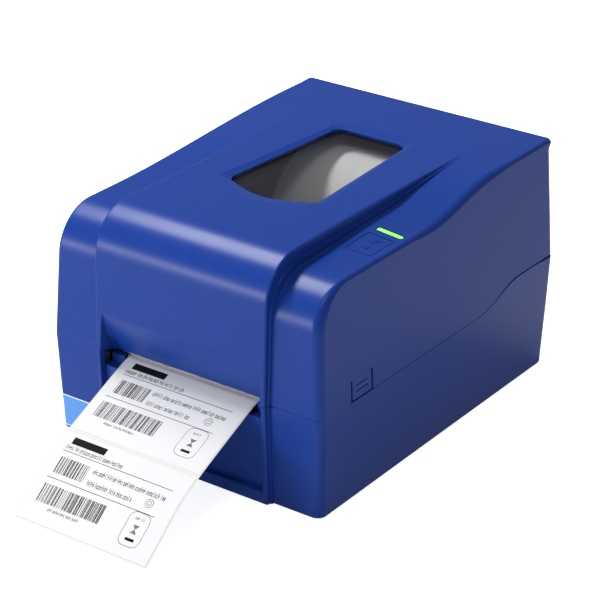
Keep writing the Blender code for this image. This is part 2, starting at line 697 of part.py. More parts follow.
def drive(looks):
    """The platen and the gear train that turns it."""
    shaft = PLATEN
    rod("platen_shaft", shaft, 3.0, (-76.0, 71.0), looks["steel"])
    tube("platen_roller", shaft, 3.3, PLATEN_RADIUS, (-54.0, 54.0), looks["rubber"])
    for side in (-1, 1):
        tag = "right" if side > 0 else "left"
        profile = [(side * x, radius) for x, radius in
                   ((64.6, 3.3), (64.6, 6.6), (66.2, 6.6), (66.2, 5.0), (69.0, 5.0), (69.0, 3.3))]
        turned("platen_bush_" + tag, shaft, profile, looks["white_nylon"], 24)
    nylon = looks["white_nylon"]
    toward_idler = math.atan2(IDLER[1] - PLATEN[1], IDLER[0] - PLATEN[0])
    toward_pinion = math.atan2(PINION[1] - IDLER[1], PINION[0] - IDLER[0])
    gears = (
        ("platen_gear", PLATEN, PLATEN_TEETH, toward_idler, 3.3),
        ("idler_gear", IDLER, IDLER_TEETH, toward_idler + math.pi * (1.0 + 1.0 / IDLER_TEETH), 2.3),
    )
    for name, centre, teeth, phase, bore in gears:
        made = prism_x(name, gear_outline(centre, teeth, phase), GEAR_X, nylon, (GEAR_X[0], *centre))
        cut(made, rod(name + "_bore", centre, bore, (-90.0, -60.0), count=20))
    idler_phase = toward_idler + math.pi * (1.0 + 1.0 / IDLER_TEETH)
    tooth_turn = 2.0 * math.pi / IDLER_TEETH
    offset = ((toward_pinion - idler_phase) / tooth_turn) % 1.0
    pinion_phase = toward_pinion + math.pi + (offset - 0.5) * 2.0 * math.pi / PINION_TEETH
    outline = gear_outline(PINION, PINION_TEETH, pinion_phase)
    pinion = prism_x("motor_pinion", outline, GEAR_X, looks["steel"], (GEAR_X[0], *PINION))
    cut(pinion, rod("motor_pinion_bore", PINION, 2.2, (-90.0, -60.0), count=16))
    motor = block("stepper_motor", (-65.8, -42.0), (PINION[0] - 17.5, PINION[0] + 17.5),
                  (PINION[1] - 17.5, PINION[1] + 17.5), looks["black_plastic"])
    bevel(motor, 3.0, 2)
    add(motor, rod("motor_shaft", PINION, 1.9, (-76.0, -60.0), count=16))
    bar = [(15.9, 54.0), (17.4, 54.0), (17.4, 61.6), (20.2, 61.6), (20.2, 63.6), (17.4, 63.6), (15.9, 62.4)]
    prism_x("tear_bar", bar, (-60.5, 60.5), looks["steel"])


def carriage(looks):
    """The swinging print-head carriage with both ribbon cores."""
    outline = [(22.0, 71.0), (18.0, 84.0), (24.0, 114.0), (36.0, 138.0), (56.0, 146.0), (112.0, 148.0)]
    outline += [(132.0, 126.0), (144.0, 103.0), (156.0, 100.0), (156.0, 90.0), (142.0, 86.0), (62.0, 71.0)]
    frame = prism_x("carriage_frame", outline, (ARM[0], ARM[1]), looks["grey_plastic"],
                    (0.0, *CARRIAGE_PIVOT))
    add(frame, prism_x("carriage_left_arm", outline, (-ARM[1], -ARM[0])))
    add(frame, block("carriage_front_bar", (-ARM[0] - 1, ARM[0] + 1), (32.0, 40.0), (80.0, 90.0)))
    add(frame, block("carriage_rear_bar", (-ARM[0] - 1, ARM[0] + 1), (128.0, 136.0), (92.0, 100.0)))
    for name, centre, hole in (("supply", SUPPLY, 7.4), ("rewind", REWIND, 7.4), ("pivot", CARRIAGE_PIVOT, 3.3)):
        cut(frame, rod("carriage_hole_" + name, centre, hole, (-70.0, 70.0), count=28))
    steel = looks["steel"]
    for side in (-1, 1):
        tag = "right" if side > 0 else "left"
        rod("carriage_pin_" + tag, CARRIAGE_PIVOT, 3.0, sorted((side * 57.0, side * 71.0)), steel, 24)
    block("print_head", (-56.0, 56.0), (24.5, 40.0), (65.4, 69.5), looks["black_plastic"])
    sink = block("head_heatsink", (-56.0, 56.0), (24.5, 40.5), (69.8, 79.6), looks["aluminium"])
    for index in range(3):
        near = 28.0 + 4.5 * index
        cut(sink, block("sink_groove_%d" % index, (-60.0, 60.0), (near, near + 2.0), (72.5, 85.0)))
    for name, centre, radius in (("supply", SUPPLY, SUPPLY_RADIUS), ("rewind", REWIND, REWIND_RADIUS)):
        tube("ribbon_" + name, centre, 13.0, radius, (-55.0, 55.0), looks["ribbon_film"], 48)
        profile = [(-57.4, 0.0), (-57.4, 12.6), (57.4, 12.6), (57.4, 0.0)]
        core = rod("ribbon_%s_core" % name, centre, 12.6, (-57.4, 57.4), looks["white_nylon"], 40)
        add(core, rod("%s_journal" % name, centre, 7.0, (-62.0, 62.0), count=28))
    ribbon_runs(looks["ribbon_film"])


def ribbon_runs(look):
    """The ink film from the supply core under the head and up to the rewind core."""
    film = 64.95
    corner = (43.5, 66.2)
    reach = math.dist(corner, SUPPLY)
    rise = math.atan2(SUPPLY[1] - corner[1], SUPPLY[0] - corner[0]) - math.asin((SUPPLY_RADIUS + 0.5) / reach)
    run = math.sqrt(reach ** 2 - (SUPPLY_RADIUS + 0.5) ** 2)
    start = (corner[0] + run * math.cos(rise), corner[1] + run * math.sin(rise))
    front = (20.4, 68.5)
    reach = math.dist(front, REWIND)
    steep = math.atan2(REWIND[1] - front[1], REWIND[0] - front[0]) + math.asin((REWIND_RADIUS + 0.5) / reach)
    run = math.sqrt(reach ** 2 - (REWIND_RADIUS + 0.5) ** 2)
    end = (front[0] + run * math.cos(steep), front[1] + run * math.sin(steep))
    path = [start, corner, (41.5, film + 0.1), (40.0, film), (23.5, film), (21.6, 65.8), front, end]
    outer = [start, (corner[0] - 0.1, corner[1] + 0.2), (41.4, film + 0.3), (40.0, film + 0.2),
             (23.7, film + 0.2), (21.8, 66.0), (20.6, 68.5), (end[0] + 0.2, end[1])]
    outer[0] = (start[0] - 0.1, start[1] + 0.2)
    prism_x("ribbon_film", path + outer[::-1], (-55.0, 55.0), look)


def rack_outline(direction, near, far):
    """A toothed bar beside the guide pinion; direction is the side of the pinion it runs on."""
    pitch = MODULE * GUIDE_TEETH / 2.0
    root = GUIDE_PINION_DEPTH + direction * (pitch + 1.2)
    tip = GUIDE_PINION_DEPTH + direction * (pitch - 0.7)
    back = GUIDE_PINION_DEPTH + direction * (pitch + 4.0)
    step = math.pi * MODULE
    outline = [(near, back), (near, root)]
    tooth = math.ceil((near + 1.2) / step - 0.5) + 0.5
    while tooth * step < far - 1.2:
        centre = tooth * step
        outline += [(centre - 0.95, root), (centre - 0.35, tip), (centre + 0.35, tip), (centre + 0.95, root)]
        tooth += 1.0
    return outline + [(far, root), (far, back)]


def guides(looks):
    """The two media guides, their racks and the pinion that couples them."""
    grey = looks["grey_plastic"]
    depth = GUIDE_PINION_DEPTH
    for side in (-1, 1):
        tag = "right" if side > 0 else "left"
        made = block("media_guide_" + tag, sorted((side * 51.3, side * 53.5)), (84.0, 128.0), (64.4, 73.5), grey)
        stem = (104.2, 107.8)
        if side > 0:
            span = (104.2, depth + 9.8)
        else:
            span = (depth - 9.8, 107.8)
        add(made, block("guide_stem_" + tag, sorted((side * 51.5, side * 53.3)), stem, (57.0, 65.0)))
        add(made, block("guide_link_" + tag, sorted((side * 50.4, side * 53.5)), span, (56.2, 59.8)))
        near, far = sorted((side * -22.0, side * 50.6))
        add(made, prism_z("guide_rack_" + tag, rack_outline(side, near, far), (56.4, 59.6)))
    outline = gear_outline((0.0, depth), GUIDE_TEETH, 0.5 * math.pi)
    pinion = prism_z("guide_pinion", outline, (56.4, 59.6), looks["white_nylon"], (0.0, depth, 56.4))
    add(pinion, prism_z("guide_pinion_axle", circle((0.0, depth), 1.8, 16), (55.0, 62.3)))
    slider = block("sensor_slider", (-6.0, 6.0), (58.8, 65.2), (54.0, 63.4), looks["black_plastic"])
    cut(slider, block("sensor_eye", (-1.5, 1.5), (60.5, 63.5), (62.6, 70.0)))


def electronics(looks):
    board = block("main_board", (-62.0, 62.0), (92.0, 256.0), (10.0, 11.6), looks["board"])
    for index, (x, depth, radius, tall) in enumerate(
            ((-40.0, 120.0, 5.0, 24.0), (-26.0, 120.0, 5.0, 24.0), (-50.0, 240.0, 4.0, 20.0))):
        outline = circle((x, depth), radius, 16)
        add(board, prism_z("capacitor_%d" % index, outline, (11.0, tall)))
    add(board, block("processor", (10.0, 34.0), (140.0, 164.0), (11.0, 13.2)))
    block("control_board", (71.0, 95.0), (64.0, 116.0), (138.0, 139.6), looks["board"])
    black = looks["black_plastic"]
    jack = block("power_inlet", (60.0, 73.0), (265.5, 280.5), (16.0, 29.0), black)
    outside = [(66.5 + x, z) for x, z in circle((0.0, 22.5), 4.2, 24)]
    bore = loft("power_inlet_bore", [[(x, depth, z) for x, z in outside] for depth in (268.5, 294.0)])
    cut(jack, bore)
    add(jack, loft("power_inlet_pin", [[(66.5 + x, depth, z) for x, z in circle((0.0, 22.5), 1.1, 12)]
                                       for depth in (266.5, 278.5)]))
    usb = block("usb_port", (30.0, 43.0), (265.5, 280.5), (16.0, 28.0), looks["steel"])
    cut(usb, block("usb_mouth", (32.2, 40.8), (268.5, 294.0), (18.0, 26.0)))
    rocker = [(278.0, 18.2), (280.8, 16.8), (281.6, 27.0), (282.8, 37.2), (278.0, 35.8)]
    prism_x("power_switch", rocker, (-73.8, -58.2), black, (-66.0, 277.0, 27.0))
    holder = block("switch_body", (-73.8, -58.2), (265.4, 275.6), (16.2, 37.8), black)
    bevel(holder, 0.6, 1)


def build():
    for existing in list(bpy.data.objects):
        bpy.data.objects.remove(existing)
    looks = all_materials()
    casing(looks)
    media_tray(looks["grey_plastic"])
    for side in (-1, 1):
        side_plate(side, looks["steel"])
    drive(looks)
    carriage(looks)
    guides(looks)
    electronics(looks)
    paper(looks)


build()
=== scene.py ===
"""Desktop thermal label printer: the finished surfaces, materials, light and camera.

Places are (x, depth, z) in millimetres, as in the model's own script: depth is measured back
from the foremost face of the lid's centre band, and z up from the table.
"""

import json
import math
import random

import bmesh
import bpy
from mathutils import Matrix, Vector


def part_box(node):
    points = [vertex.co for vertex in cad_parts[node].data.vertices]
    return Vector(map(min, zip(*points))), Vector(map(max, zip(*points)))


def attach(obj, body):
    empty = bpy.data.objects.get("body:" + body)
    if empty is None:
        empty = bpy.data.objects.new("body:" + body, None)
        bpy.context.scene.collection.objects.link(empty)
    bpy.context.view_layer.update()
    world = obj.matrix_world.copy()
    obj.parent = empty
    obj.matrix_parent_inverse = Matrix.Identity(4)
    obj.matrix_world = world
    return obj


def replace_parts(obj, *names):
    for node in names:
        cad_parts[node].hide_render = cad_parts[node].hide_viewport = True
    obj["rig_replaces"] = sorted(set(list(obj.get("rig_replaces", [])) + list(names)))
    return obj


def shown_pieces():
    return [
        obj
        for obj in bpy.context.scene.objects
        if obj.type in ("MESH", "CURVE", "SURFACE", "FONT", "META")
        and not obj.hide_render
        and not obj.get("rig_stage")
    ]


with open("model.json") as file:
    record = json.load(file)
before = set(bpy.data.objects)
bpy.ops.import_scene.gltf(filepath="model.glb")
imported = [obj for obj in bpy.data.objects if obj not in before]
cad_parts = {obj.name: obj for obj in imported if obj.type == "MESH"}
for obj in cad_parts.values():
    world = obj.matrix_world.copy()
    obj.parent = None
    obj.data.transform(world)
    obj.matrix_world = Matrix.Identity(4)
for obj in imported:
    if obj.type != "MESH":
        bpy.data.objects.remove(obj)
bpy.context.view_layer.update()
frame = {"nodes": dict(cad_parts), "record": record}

MM = 0.001
FRONT_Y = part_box("lid_shell")[0].y

# Casing, as in the model
BODY_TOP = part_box("lid_shell")[1].z / MM
BODY_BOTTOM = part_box("lower_housing")[0].z / MM
WALL = 2.4
HALF_WIDTH_BOTTOM = 101.9
HALF_WIDTH_PARTING = 103.8
HALF_WIDTH_TOP = 99.2
SHOULDER_TOP = 152.3
LEFT_SHOULDER_TOP = 155.0
SHOULDER_EDGE = 95.0
SHOULDER_SPAN = 28.5
BAND_HALF = 65.5
BAND_INNER = 63.5
TOP_EDGE = 2.6
REAR_CORNER = 8.0
REAR_ARC_STEPS = 8
FRONT_CORNER = {1: 6.0, -1: 3.0}
REAR_RADIUS = 3.0
SMALLEST_RADIUS = 0.8
REAR_DEPTH = 284.4
BEHIND = 294.0
SHOULDER_SETBACK = 4.6
FRONT_RAKE = 4.2
NOSE_RADIUS = 30.0
SHOULDER_NOSE = 36.0
BAND_NOSE = (31.0, 134.0)
PARTING_FRONT = 69.6
PARTING_REAR = 80.8
PARTING_RISE = (187.0, 236.0)
REAR_RIM_DROP = 1.3
LIP_Z = 66.0
SCOOP_TOP = 97.5
SCOOP_DEPTH = 15.4
CHAMFER_DEPTH = 4.3
BAND_EDGE = 1.3
LEDGE = ((65.65, 0.42), (66.85, 0.40), (67.1, 0.03), (67.7, 0.0))
HINGE = (282.0, 82.3)
HINGE_EYE = 3.0
HINGE_BORE = 1.5
ROLL = (214.0, 96.0)
ROLL_RADIUS = 52.0
ROLL_BORE = 14.4
LABEL_HALF = 50.8
WEB_BOTTOM = 64.3
WEB_TURN = 140.0
WINDOW_TOP = 160.6
COLLAR_MARGIN = 3.4
GLASS_MARGIN = 3.8
BUTTON = (74.2, 92.6, 70.4, 96.2)
LIGHT = (74.9, 93.9, 102.7, 106.9)
TAB = (36.9, 60.9, 84.2)
SHARP_ANGLE = math.radians(32.0)


def at(x, depth, z):
    return Vector((x * MM, FRONT_Y + depth * MM, z * MM))


# ---------------------------------------------------------------- materials

def shader_of(made):
    return made.node_tree.nodes["Principled BSDF"]


def add_bump(made, height, strength, distance):
    bump = made.node_tree.nodes.new("ShaderNodeBump")
    bump.inputs["Strength"].default_value = strength
    bump.inputs["Distance"].default_value = distance * MM
    made.node_tree.links.new(height, bump.inputs["Height"])
    made.node_tree.links.new(bump.outputs["Normal"], shader_of(made).inputs["Normal"])


def grained(name, colour, roughness, grain=0.0, grain_size=0.4, mottle=0.06, metallic=0.0, gleam=0.5):
    """A material with fine moulded grain, uneven gloss and a slight variation of colour."""
    made = bpy.data.materials.new(name)
    made.use_nodes = True
    nodes = made.node_tree.nodes
    links = made.node_tree.links
    shader = shader_of(made)
    shader.inputs["Metallic"].default_value = metallic
    shader.inputs["Specular IOR Level"].default_value = gleam
    place = nodes.new("ShaderNodeTexCoord").outputs["Object"]
    broad = nodes.new("ShaderNodeTexNoise")
    broad.inputs["Scale"].default_value = 35.0
    broad.inputs["Detail"].default_value = 4.0
    links.new(place, broad.inputs["Vector"])
    tint = nodes.new("ShaderNodeMix")
    tint.data_type = "RGBA"
    tint.inputs["A"].default_value = (*[value * (1.0 - mottle) for value in colour], 1.0)
    tint.inputs["B"].default_value = (*[min(value * (1.0 + mottle), 1.0) for value in colour], 1.0)
    links.new(broad.outputs["Fac"], tint.inputs["Factor"])
    links.new(tint.outputs["Result"], shader.inputs["Base Color"])
    gloss = nodes.new("ShaderNodeMapRange")
    gloss.inputs["To Min"].default_value = roughness - 0.04
    gloss.inputs["To Max"].default_value = roughness + 0.05
    links.new(broad.outputs["Fac"], gloss.inputs["Value"])
    links.new(gloss.outputs["Result"], shader.inputs["Roughness"])
    if grain:
        fine = nodes.new("ShaderNodeTexNoise")
        fine.inputs["Scale"].default_value = 1.0 / (grain_size * MM)
        fine.inputs["Detail"].default_value = 3.0
        links.new(place, fine.inputs["Vector"])
        add_bump(made, fine.outputs["Fac"], grain, 0.03)
    return made


def brushed(name, colour, roughness, direction):
    """Metal with fine lines along one direction, given as the scale of the noise on each axis."""
    made = grained(name, colour, roughness, metallic=1.0)
    nodes = made.node_tree.nodes
    links = made.node_tree.links
    place = nodes.new("ShaderNodeTexCoord").outputs["Object"]
    stretch = nodes.new("ShaderNodeMapping")
    stretch.inputs["Scale"].default_value = direction
    lines = nodes.new("ShaderNodeTexNoise")
    lines.inputs["Scale"].default_value = 400.0
    links.new(place, stretch.inputs["Vector"])
    links.new(stretch.outputs["Vector"], lines.inputs["Vector"])
    add_bump(made, lines.outputs["Fac"], 0.12, 0.02)
    return made


def smoked_glass():
    """Clear smoked plastic: light goes through it, and its face mirrors."""
    made = grained("smoked_window", (0.05, 0.048, 0.06), 0.05, mottle=0.02)
    shader = shader_of(made)
    shader.inputs["Alpha"].default_value = 0.18
    shader.inputs["Specular IOR Level"].default_value = 0.8
    return made


def wound_paper():
    """White paper whose edge shows the layers of the roll as fine rings."""
    made = grained("wound_paper", (0.88, 0.88, 0.86), 0.75, grain=0.25, grain_size=0.25, mottle=0.02)
    nodes = made.node_tree.nodes
    links = made.node_tree.links
    place = nodes.new("ShaderNodeTexCoord").outputs["Object"]
    move = nodes.new("ShaderNodeMapping")
    move.inputs["Location"].default_value = -at(0.0, *ROLL)
    split = nodes.new("ShaderNodeSeparateXYZ")
    flat = nodes.new("ShaderNodeCombineXYZ")
    length = nodes.new("ShaderNodeVectorMath")
    length.operation = "LENGTH"
    rings = nodes.new("ShaderNodeTexNoise")
    rings.noise_dimensions = "1D"
    rings.inputs["Scale"].default_value = 3000.0
    links.new(place, move.inputs["Vector"])
    links.new(move.outputs["Vector"], split.inputs["Vector"])
    links.new(split.outputs["Y"], flat.inputs["Y"])
    links.new(split.outputs["Z"], flat.inputs["Z"])
    links.new(flat.outputs["Vector"], length.inputs[0])
    links.new(length.outputs["Value"], rings.inputs["W"])
    add_bump(made, rings.outputs["Fac"], 0.3, 0.05)
    return made


def lit(name, colour, strength):
    made = grained(name, colour, 0.3)
    shader = shader_of(made)
    shader.inputs["Emission Color"].default_value = (*colour, 1.0)
    shader.inputs["Emission Strength"].default_value = strength
    return made


LOOKS = {
    "blue_plastic": grained("blue_plastic", (0.009, 0.041, 0.255), 0.30, grain=0.12, grain_size=0.5,
                            mottle=0.02, gleam=0.16),
    "grey_plastic": grained("grey_plastic", (0.075, 0.078, 0.085), 0.5, grain=0.35, grain_size=0.6),
    "black_plastic": grained("black_plastic", (0.014, 0.014, 0.016), 0.45, grain=0.3, grain_size=0.6),
    "smoked_window": smoked_glass(),
    "white_paper": grained("white_paper", (0.70, 0.70, 0.71), 0.7, grain=0.15, grain_size=0.2,
                           mottle=0.01, gleam=0.1),
    "wound_paper": wound_paper(),
    "liner_paper": grained("liner_paper", (0.62, 0.61, 0.57), 0.5, grain=0.12, grain_size=0.3,
                           mottle=0.03, gleam=0.2),
    "card": grained("card", (0.42, 0.31, 0.20), 0.85, grain=0.6, grain_size=0.5, mottle=0.15),
    "rubber": grained("rubber", (0.022, 0.022, 0.024), 0.75, grain=0.5, grain_size=0.4),
    "steel": brushed("steel", (0.58, 0.58, 0.60), 0.3, (0.05, 1.0, 1.0)),
    "aluminium": brushed("aluminium", (0.70, 0.70, 0.72), 0.34, (0.03, 1.0, 1.0)),
    "white_nylon": grained("white_nylon", (0.76, 0.76, 0.72), 0.42, grain=0.2, grain_size=0.8),
    "ribbon_film": grained("ribbon_film", (0.010, 0.010, 0.013), 0.5, grain=0.08, grain_size=1.5,
                           gleam=0.25),
    "board": grained("board", (0.010, 0.10, 0.035), 0.4, grain=0.4, grain_size=0.9, mottle=0.2),
    "green_light": lit("green_light", (0.26, 1.0, 0.10), 0.85),
    "ink": grained("ink", (0.010, 0.010, 0.010), 0.7, grain=0.1, grain_size=0.3, mottle=0.3, gleam=0.05),
    "sticker": grained("sticker", (0.11, 0.29, 0.68), 0.45, mottle=0.03, gleam=0.1),
    "sticker_white": grained("sticker_white", (0.80, 0.88, 0.96), 0.35, mottle=0.02),
}


# ---------------------------------------------------------------- mesh helpers

def in_scene(name, data):
    """Makes an object of some data and puts it in the scene."""
    made = bpy.data.objects.new(name, data)
    bpy.context.scene.collection.objects.link(made)
    return made


def new_piece(name, mesh_data, look, body, replaced=()):
    """Makes a piece that rides on a body and may stand for CAD nodes; a helper has no body."""
    bmesh.ops.recalc_face_normals(mesh_data, faces=mesh_data.faces)
    mesh = bpy.data.meshes.new(name)
    mesh_data.to_mesh(mesh)
    mesh_data.free()
    mesh.shade_smooth()
    mesh.set_sharp_from_angle(angle=SHARP_ANGLE)
    made = in_scene(name, mesh)
    if look:
        mesh.materials.append(LOOKS[look])
    if body:
        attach(made, body)
    if replaced:
        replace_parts(made, *replaced)
    return made


def bridge(mesh_data, lower, upper):
    count = len(lower)
    for index in range(count):
        after = (index + 1) % count
        mesh_data.faces.new((lower[index], lower[after], upper[after], upper[index]))


def close_row(mesh_data, loops):
    """Joins loops in a row and closes both ends."""
    for lower, upper in zip(loops, loops[1:]):
        bridge(mesh_data, lower, upper)
    mesh_data.faces.new(loops[0][::-1])
    mesh_data.faces.new(loops[-1])


def loft(name, rings, look=None, body=None, closed_loop=False, replaced=()):
    made = bmesh.new()
    loops = [[made.verts.new(at(*place)) for place in ring] for ring in rings]
    if closed_loop:
        for lower, upper in zip(loops, loops[1:] + loops[:1]):
            bridge(made, lower, upper)
    else:
        close_row(made, loops)
    return new_piece(name, made, look, body, replaced)


def prism_x(name, outline, x_range, look=None, body=None):
    rings = [[(x, depth, z) for depth, z in outline] for x in x_range]
    return loft(name, rings, look, body)


def prism_z(name, outline, z_range, look=None, body=None, replaced=()):
    rings = [[(x, depth, z) for x, depth in outline] for z in z_range]
    return loft(name, rings, look, body, replaced=replaced)


def block(name, x_range, depth_range, z_range):
    near, far = depth_range
    low, high = z_range
    outline = [(near, low), (far, low), (far, high), (near, high)]
    return prism_x(name, outline, x_range)


def on_side(side, near, far):
    """The two x limits of a shape on one side, the smaller first."""
    return sorted((side * near, side * far))


def circle(centre, radius, count=48):
    turns = [2.0 * math.pi * index / count for index in range(count)]
    return [(centre[0] + radius * math.cos(turn), centre[1] + radius * math.sin(turn)) for turn in turns]


def arc(centre, radius, begin, end, steps):
    """Points of an arc, with its angles in degrees."""
    points = []
    for step in range(steps + 1):
        turn = math.radians(begin + (end - begin) * step / steps)
        points.append((centre[0] + radius * math.cos(turn), centre[1] + radius * math.sin(turn)))
    return points


def turned(name, centre, profile, look, body, replaced, count):
    """Turns a closed outline of (x, radius) points about an axis along x through (depth, z)."""
    rings = [[(x, depth, z) for depth, z in circle(centre, radius, count)] for x, radius in profile]
    return loft(name, rings, look, body, closed_loop=True, replaced=replaced)


def rod(name, centre, radius, x_range):
    return prism_x(name, circle(centre, radius), x_range)


def rounded_rectangle(left, right, front, rear, radius, steps=6):
    points = arc((right - radius, rear - radius), radius, 0, 90, steps)
    points += arc((left + radius, rear - radius), radius, 90, 180, steps)
    points += arc((left + radius, front + radius), radius, 180, 270, steps)
    return points + arc((right - radius, front + radius), radius, 270, 360, steps)


def soften(made, width, segments=3, angle=35.0, sharp_at=None):
    """Rounds the sharp edges, save those whose middle sharp_at picks out, and shades by face size."""
    edges = bmesh.new()
    edges.from_mesh(made.data)
    weight = edges.edges.layers.float.new("bevel_weight_edge")
    for edge in edges.edges:
        middle = 0.5 * (edge.verts[0].co + edge.verts[1].co)
        kept = sharp_at is not None and sharp_at(middle)
        if edge.calc_face_angle(0.0) > math.radians(angle) and not kept:
            edge[weight] = 1.0
    edges.to_mesh(made.data)
    edges.free()
    rounding = made.modifiers.new("Edges", "BEVEL")
    rounding.width = width * MM
    rounding.segments = segments
    rounding.limit_method = "WEIGHT"
    weighted = made.modifiers.new("Weighted", "WEIGHTED_NORMAL")
    weighted.weight = 80
    return made


def carve(target, cutters, operation="DIFFERENCE"):
    """Cuts or joins helper shapes for good, and deletes them."""
    for cutter in cutters:
        modifier = target.modifiers.new("Carve", "BOOLEAN")
        modifier.operation = operation
        modifier.solver = "EXACT"
        modifier.object = cutter
    graph = bpy.context.evaluated_depsgraph_get()
    graph.update()
    carved = bpy.data.meshes.new_from_object(target.evaluated_get(graph))
    target.modifiers.clear()
    target.data = carved
    for cutter in cutters:
        bpy.data.objects.remove(cutter)
    carved.shade_smooth()
    carved.set_sharp_from_angle(angle=SHARP_ANGLE)
    return target


def smooth_curve(points, steps):
    """A smooth line through all the points."""
    ends = [points[0], *points, points[-1]]
    curve = []
    for first, second, third, fourth in zip(ends, ends[1:], ends[2:], ends[3:]):
        for step in range(steps):
            t = step / steps
            curve.append(tuple(
                0.5 * (2 * b + (c - a) * t + (2 * a - 5 * b + 4 * c - d) * t * t
                       + (3 * b - a - 3 * c + d) * t ** 3)
                for a, b, c, d in zip(first, second, third, fourth)
            ))
    return curve + [points[-1]]


def blend(low, high, value):
    """Eases from 0 at low to 1 at high."""
    t = min(max((value - low) / (high - low), 0.0), 1.0)
    return t * t * (3.0 - 2.0 * t)


# ---------------------------------------------------------------- casing surfaces

def parting_gap(depth):
    """Half the seam's width: all but closed in front of the latch tab, open behind it."""
    return 0.03 + 0.17 * blend(36.0, 44.0, depth)


def parting(depth):
    return PARTING_FRONT + (PARTING_REAR - PARTING_FRONT) * blend(*PARTING_RISE, depth)


def half_width(z):
    if z < PARTING_FRONT:
        share = (z - BODY_BOTTOM) / (PARTING_FRONT - BODY_BOTTOM)
        return HALF_WIDTH_BOTTOM + (HALF_WIDTH_PARTING - HALF_WIDTH_BOTTOM) * share
    share = (z - PARTING_FRONT) / (SHOULDER_TOP - PARTING_FRONT)
    return HALF_WIDTH_PARTING + (HALF_WIDTH_TOP - HALF_WIDTH_PARTING) * share


def band_front(z):
    if z < PARTING_FRONT:
        return FRONT_RAKE * (PARTING_FRONT - z) / (PARTING_FRONT - BODY_BOTTOM)
    return (z - PARTING_FRONT) / 65.5


def shoulder_front(z):
    if z < PARTING_FRONT:
        return SHOULDER_SETBACK + 3.9 * (PARTING_FRONT - z) / (PARTING_FRONT - BODY_BOTTOM)
    return SHOULDER_SETBACK + 1.4 * (z - PARTING_FRONT) / 54.0


def rear_face(z):
    if z < PARTING_REAR:
        return REAR_DEPTH - 4.4 * (PARTING_REAR - z) / (PARTING_REAR - BODY_BOTTOM)
    return REAR_DEPTH - 3.8 * (z - PARTING_REAR) / (BODY_TOP - PARTING_REAR)


def scoop_share(z):
    return min(max((SCOOP_TOP - z) / (SCOOP_TOP - LIP_Z), 0.0), 1.0)


def scoop_depth(z):
    return SCOOP_DEPTH * scoop_share(z) ** 1.25


def shoulder_height(x, depth):
    """The top beside the band: a low shelf on the right, a fuller slope on the left."""
    inward = min(max((SHOULDER_EDGE - abs(x)) / SHOULDER_SPAN, 0.0), 1.0)
    if x < 0.0:
        low = LEFT_SHOULDER_TOP + 8.6 * blend(60.0, 250.0, depth)
        return low + (BODY_TOP - low) * blend(110.0, 215.0, depth) * inward
    rise = blend(126.0 + 4.0 * inward, 208.0 + 14.0 * inward, depth)
    crown = 3.5 * blend(25.0, 135.0, depth) * (1.0 - blend(150.0, 212.0, depth))
    return SHOULDER_TOP + (BODY_TOP - SHOULDER_TOP) * rise + crown * inward


FRONT_LEVELS = (70.5, 72.0, 74.0, 76.0, 79.0, 82.0, 85.0, 88.0, 91.0, 94.0, 96.0, 97.5,
                99.0, 102.0, 108.0, 116.0)
TOP_STATIONS = tuple(range(44, 124, 8)) + tuple(range(126, 218, 3)) + (222, 232, 244, 256, 266)
SIDE_STATIONS = (36, 40, 44, 110, 170) + tuple(range(185, 237, 3)) + (246, 258)
BAND_COLUMNS = (0.0, 12.0, 24.0, 36.0, 46.0, 53.0, 57.0)
SHOULDER_COLUMNS = (69.0, 72.0, 76.0, 80.0, 84.0, 88.0, 91.0, 94.0)
SQUEEZED_FROM = 80.0
NOSE_STEPS = 22


def casing_profile(kind, x, inset, fade=False):
    """One section of the lid, front rim to rear rim; fade thins the inset out where the step does."""
    shoulder = kind == "shoulder"
    front = shoulder_front if shoulder else band_front
    points = [(front(z) + inset, z) for z in (PARTING_FRONT + parting_gap(0.0), *FRONT_LEVELS)]
    centre = BAND_NOSE
    if shoulder:
        centre = (SHOULDER_NOSE, shoulder_height(x, SHOULDER_NOSE) - NOSE_RADIUS)
    radius = NOSE_RADIUS - inset
    for step in range(NOSE_STEPS + 1):
        turn = 0.5 * math.pi * step / NOSE_STEPS
        points.append((centre[0] - radius * math.cos(turn), centre[1] + radius * math.sin(turn)))
    for depth in TOP_STATIONS:
        top = shoulder_height(x, depth) if shoulder else BODY_TOP
        step_height = BODY_TOP - shoulder_height(math.copysign(BAND_HALF, x), depth)
        share = min(1.0, 0.3 * step_height) if fade else 1.0
        points.append((depth, top - inset * share))
    share = 0.0 if fade else 1.0
    corner = max(REAR_RADIUS - inset * share, 0.4)
    rear = rear_face(BODY_TOP) - inset * share - corner
    top = BODY_TOP - inset * share - corner
    points += [(rear + depth, top + z) for depth, z in arc((0.0, 0.0), corner, 90, 0, REAR_ARC_STEPS)]
    rim = PARTING_REAR + parting_gap(280.0)
    points += [(rear_face(z) - inset * share, z) for z in (120.0, rim)]
    return points


def scooped(places):
    """Pushes the front of a section back to the hollow above the label exit, down to its lip."""
    levels = (LIP_Z, *FRONT_LEVELS)
    made = list(places)
    for index, z in enumerate(levels):
        made[index] = (places[index][0], band_front(max(z, PARTING_FRONT)) + scoop_depth(z), z)
    return made


def flat_column(side, x, kind, inset=0.0, fade=False):
    return [(side * x, depth, z) for depth, z in casing_profile(kind, side * x, inset, fade)]


def mixed(low, high, share_of):
    """Places part of the way from one section to another, by a share taken from each place."""
    made = []
    for first, second in zip(low, high):
        share = share_of(first[1])
        made.append(tuple(a + (b - a) * share for a, b in zip(first, second)))
    return made


def edge_swell(depth):
    """The band's edge is rounder along the middle of its length."""
    return blend(12.0, 60.0, depth) * (1.0 - blend(120.0, 190.0, depth))


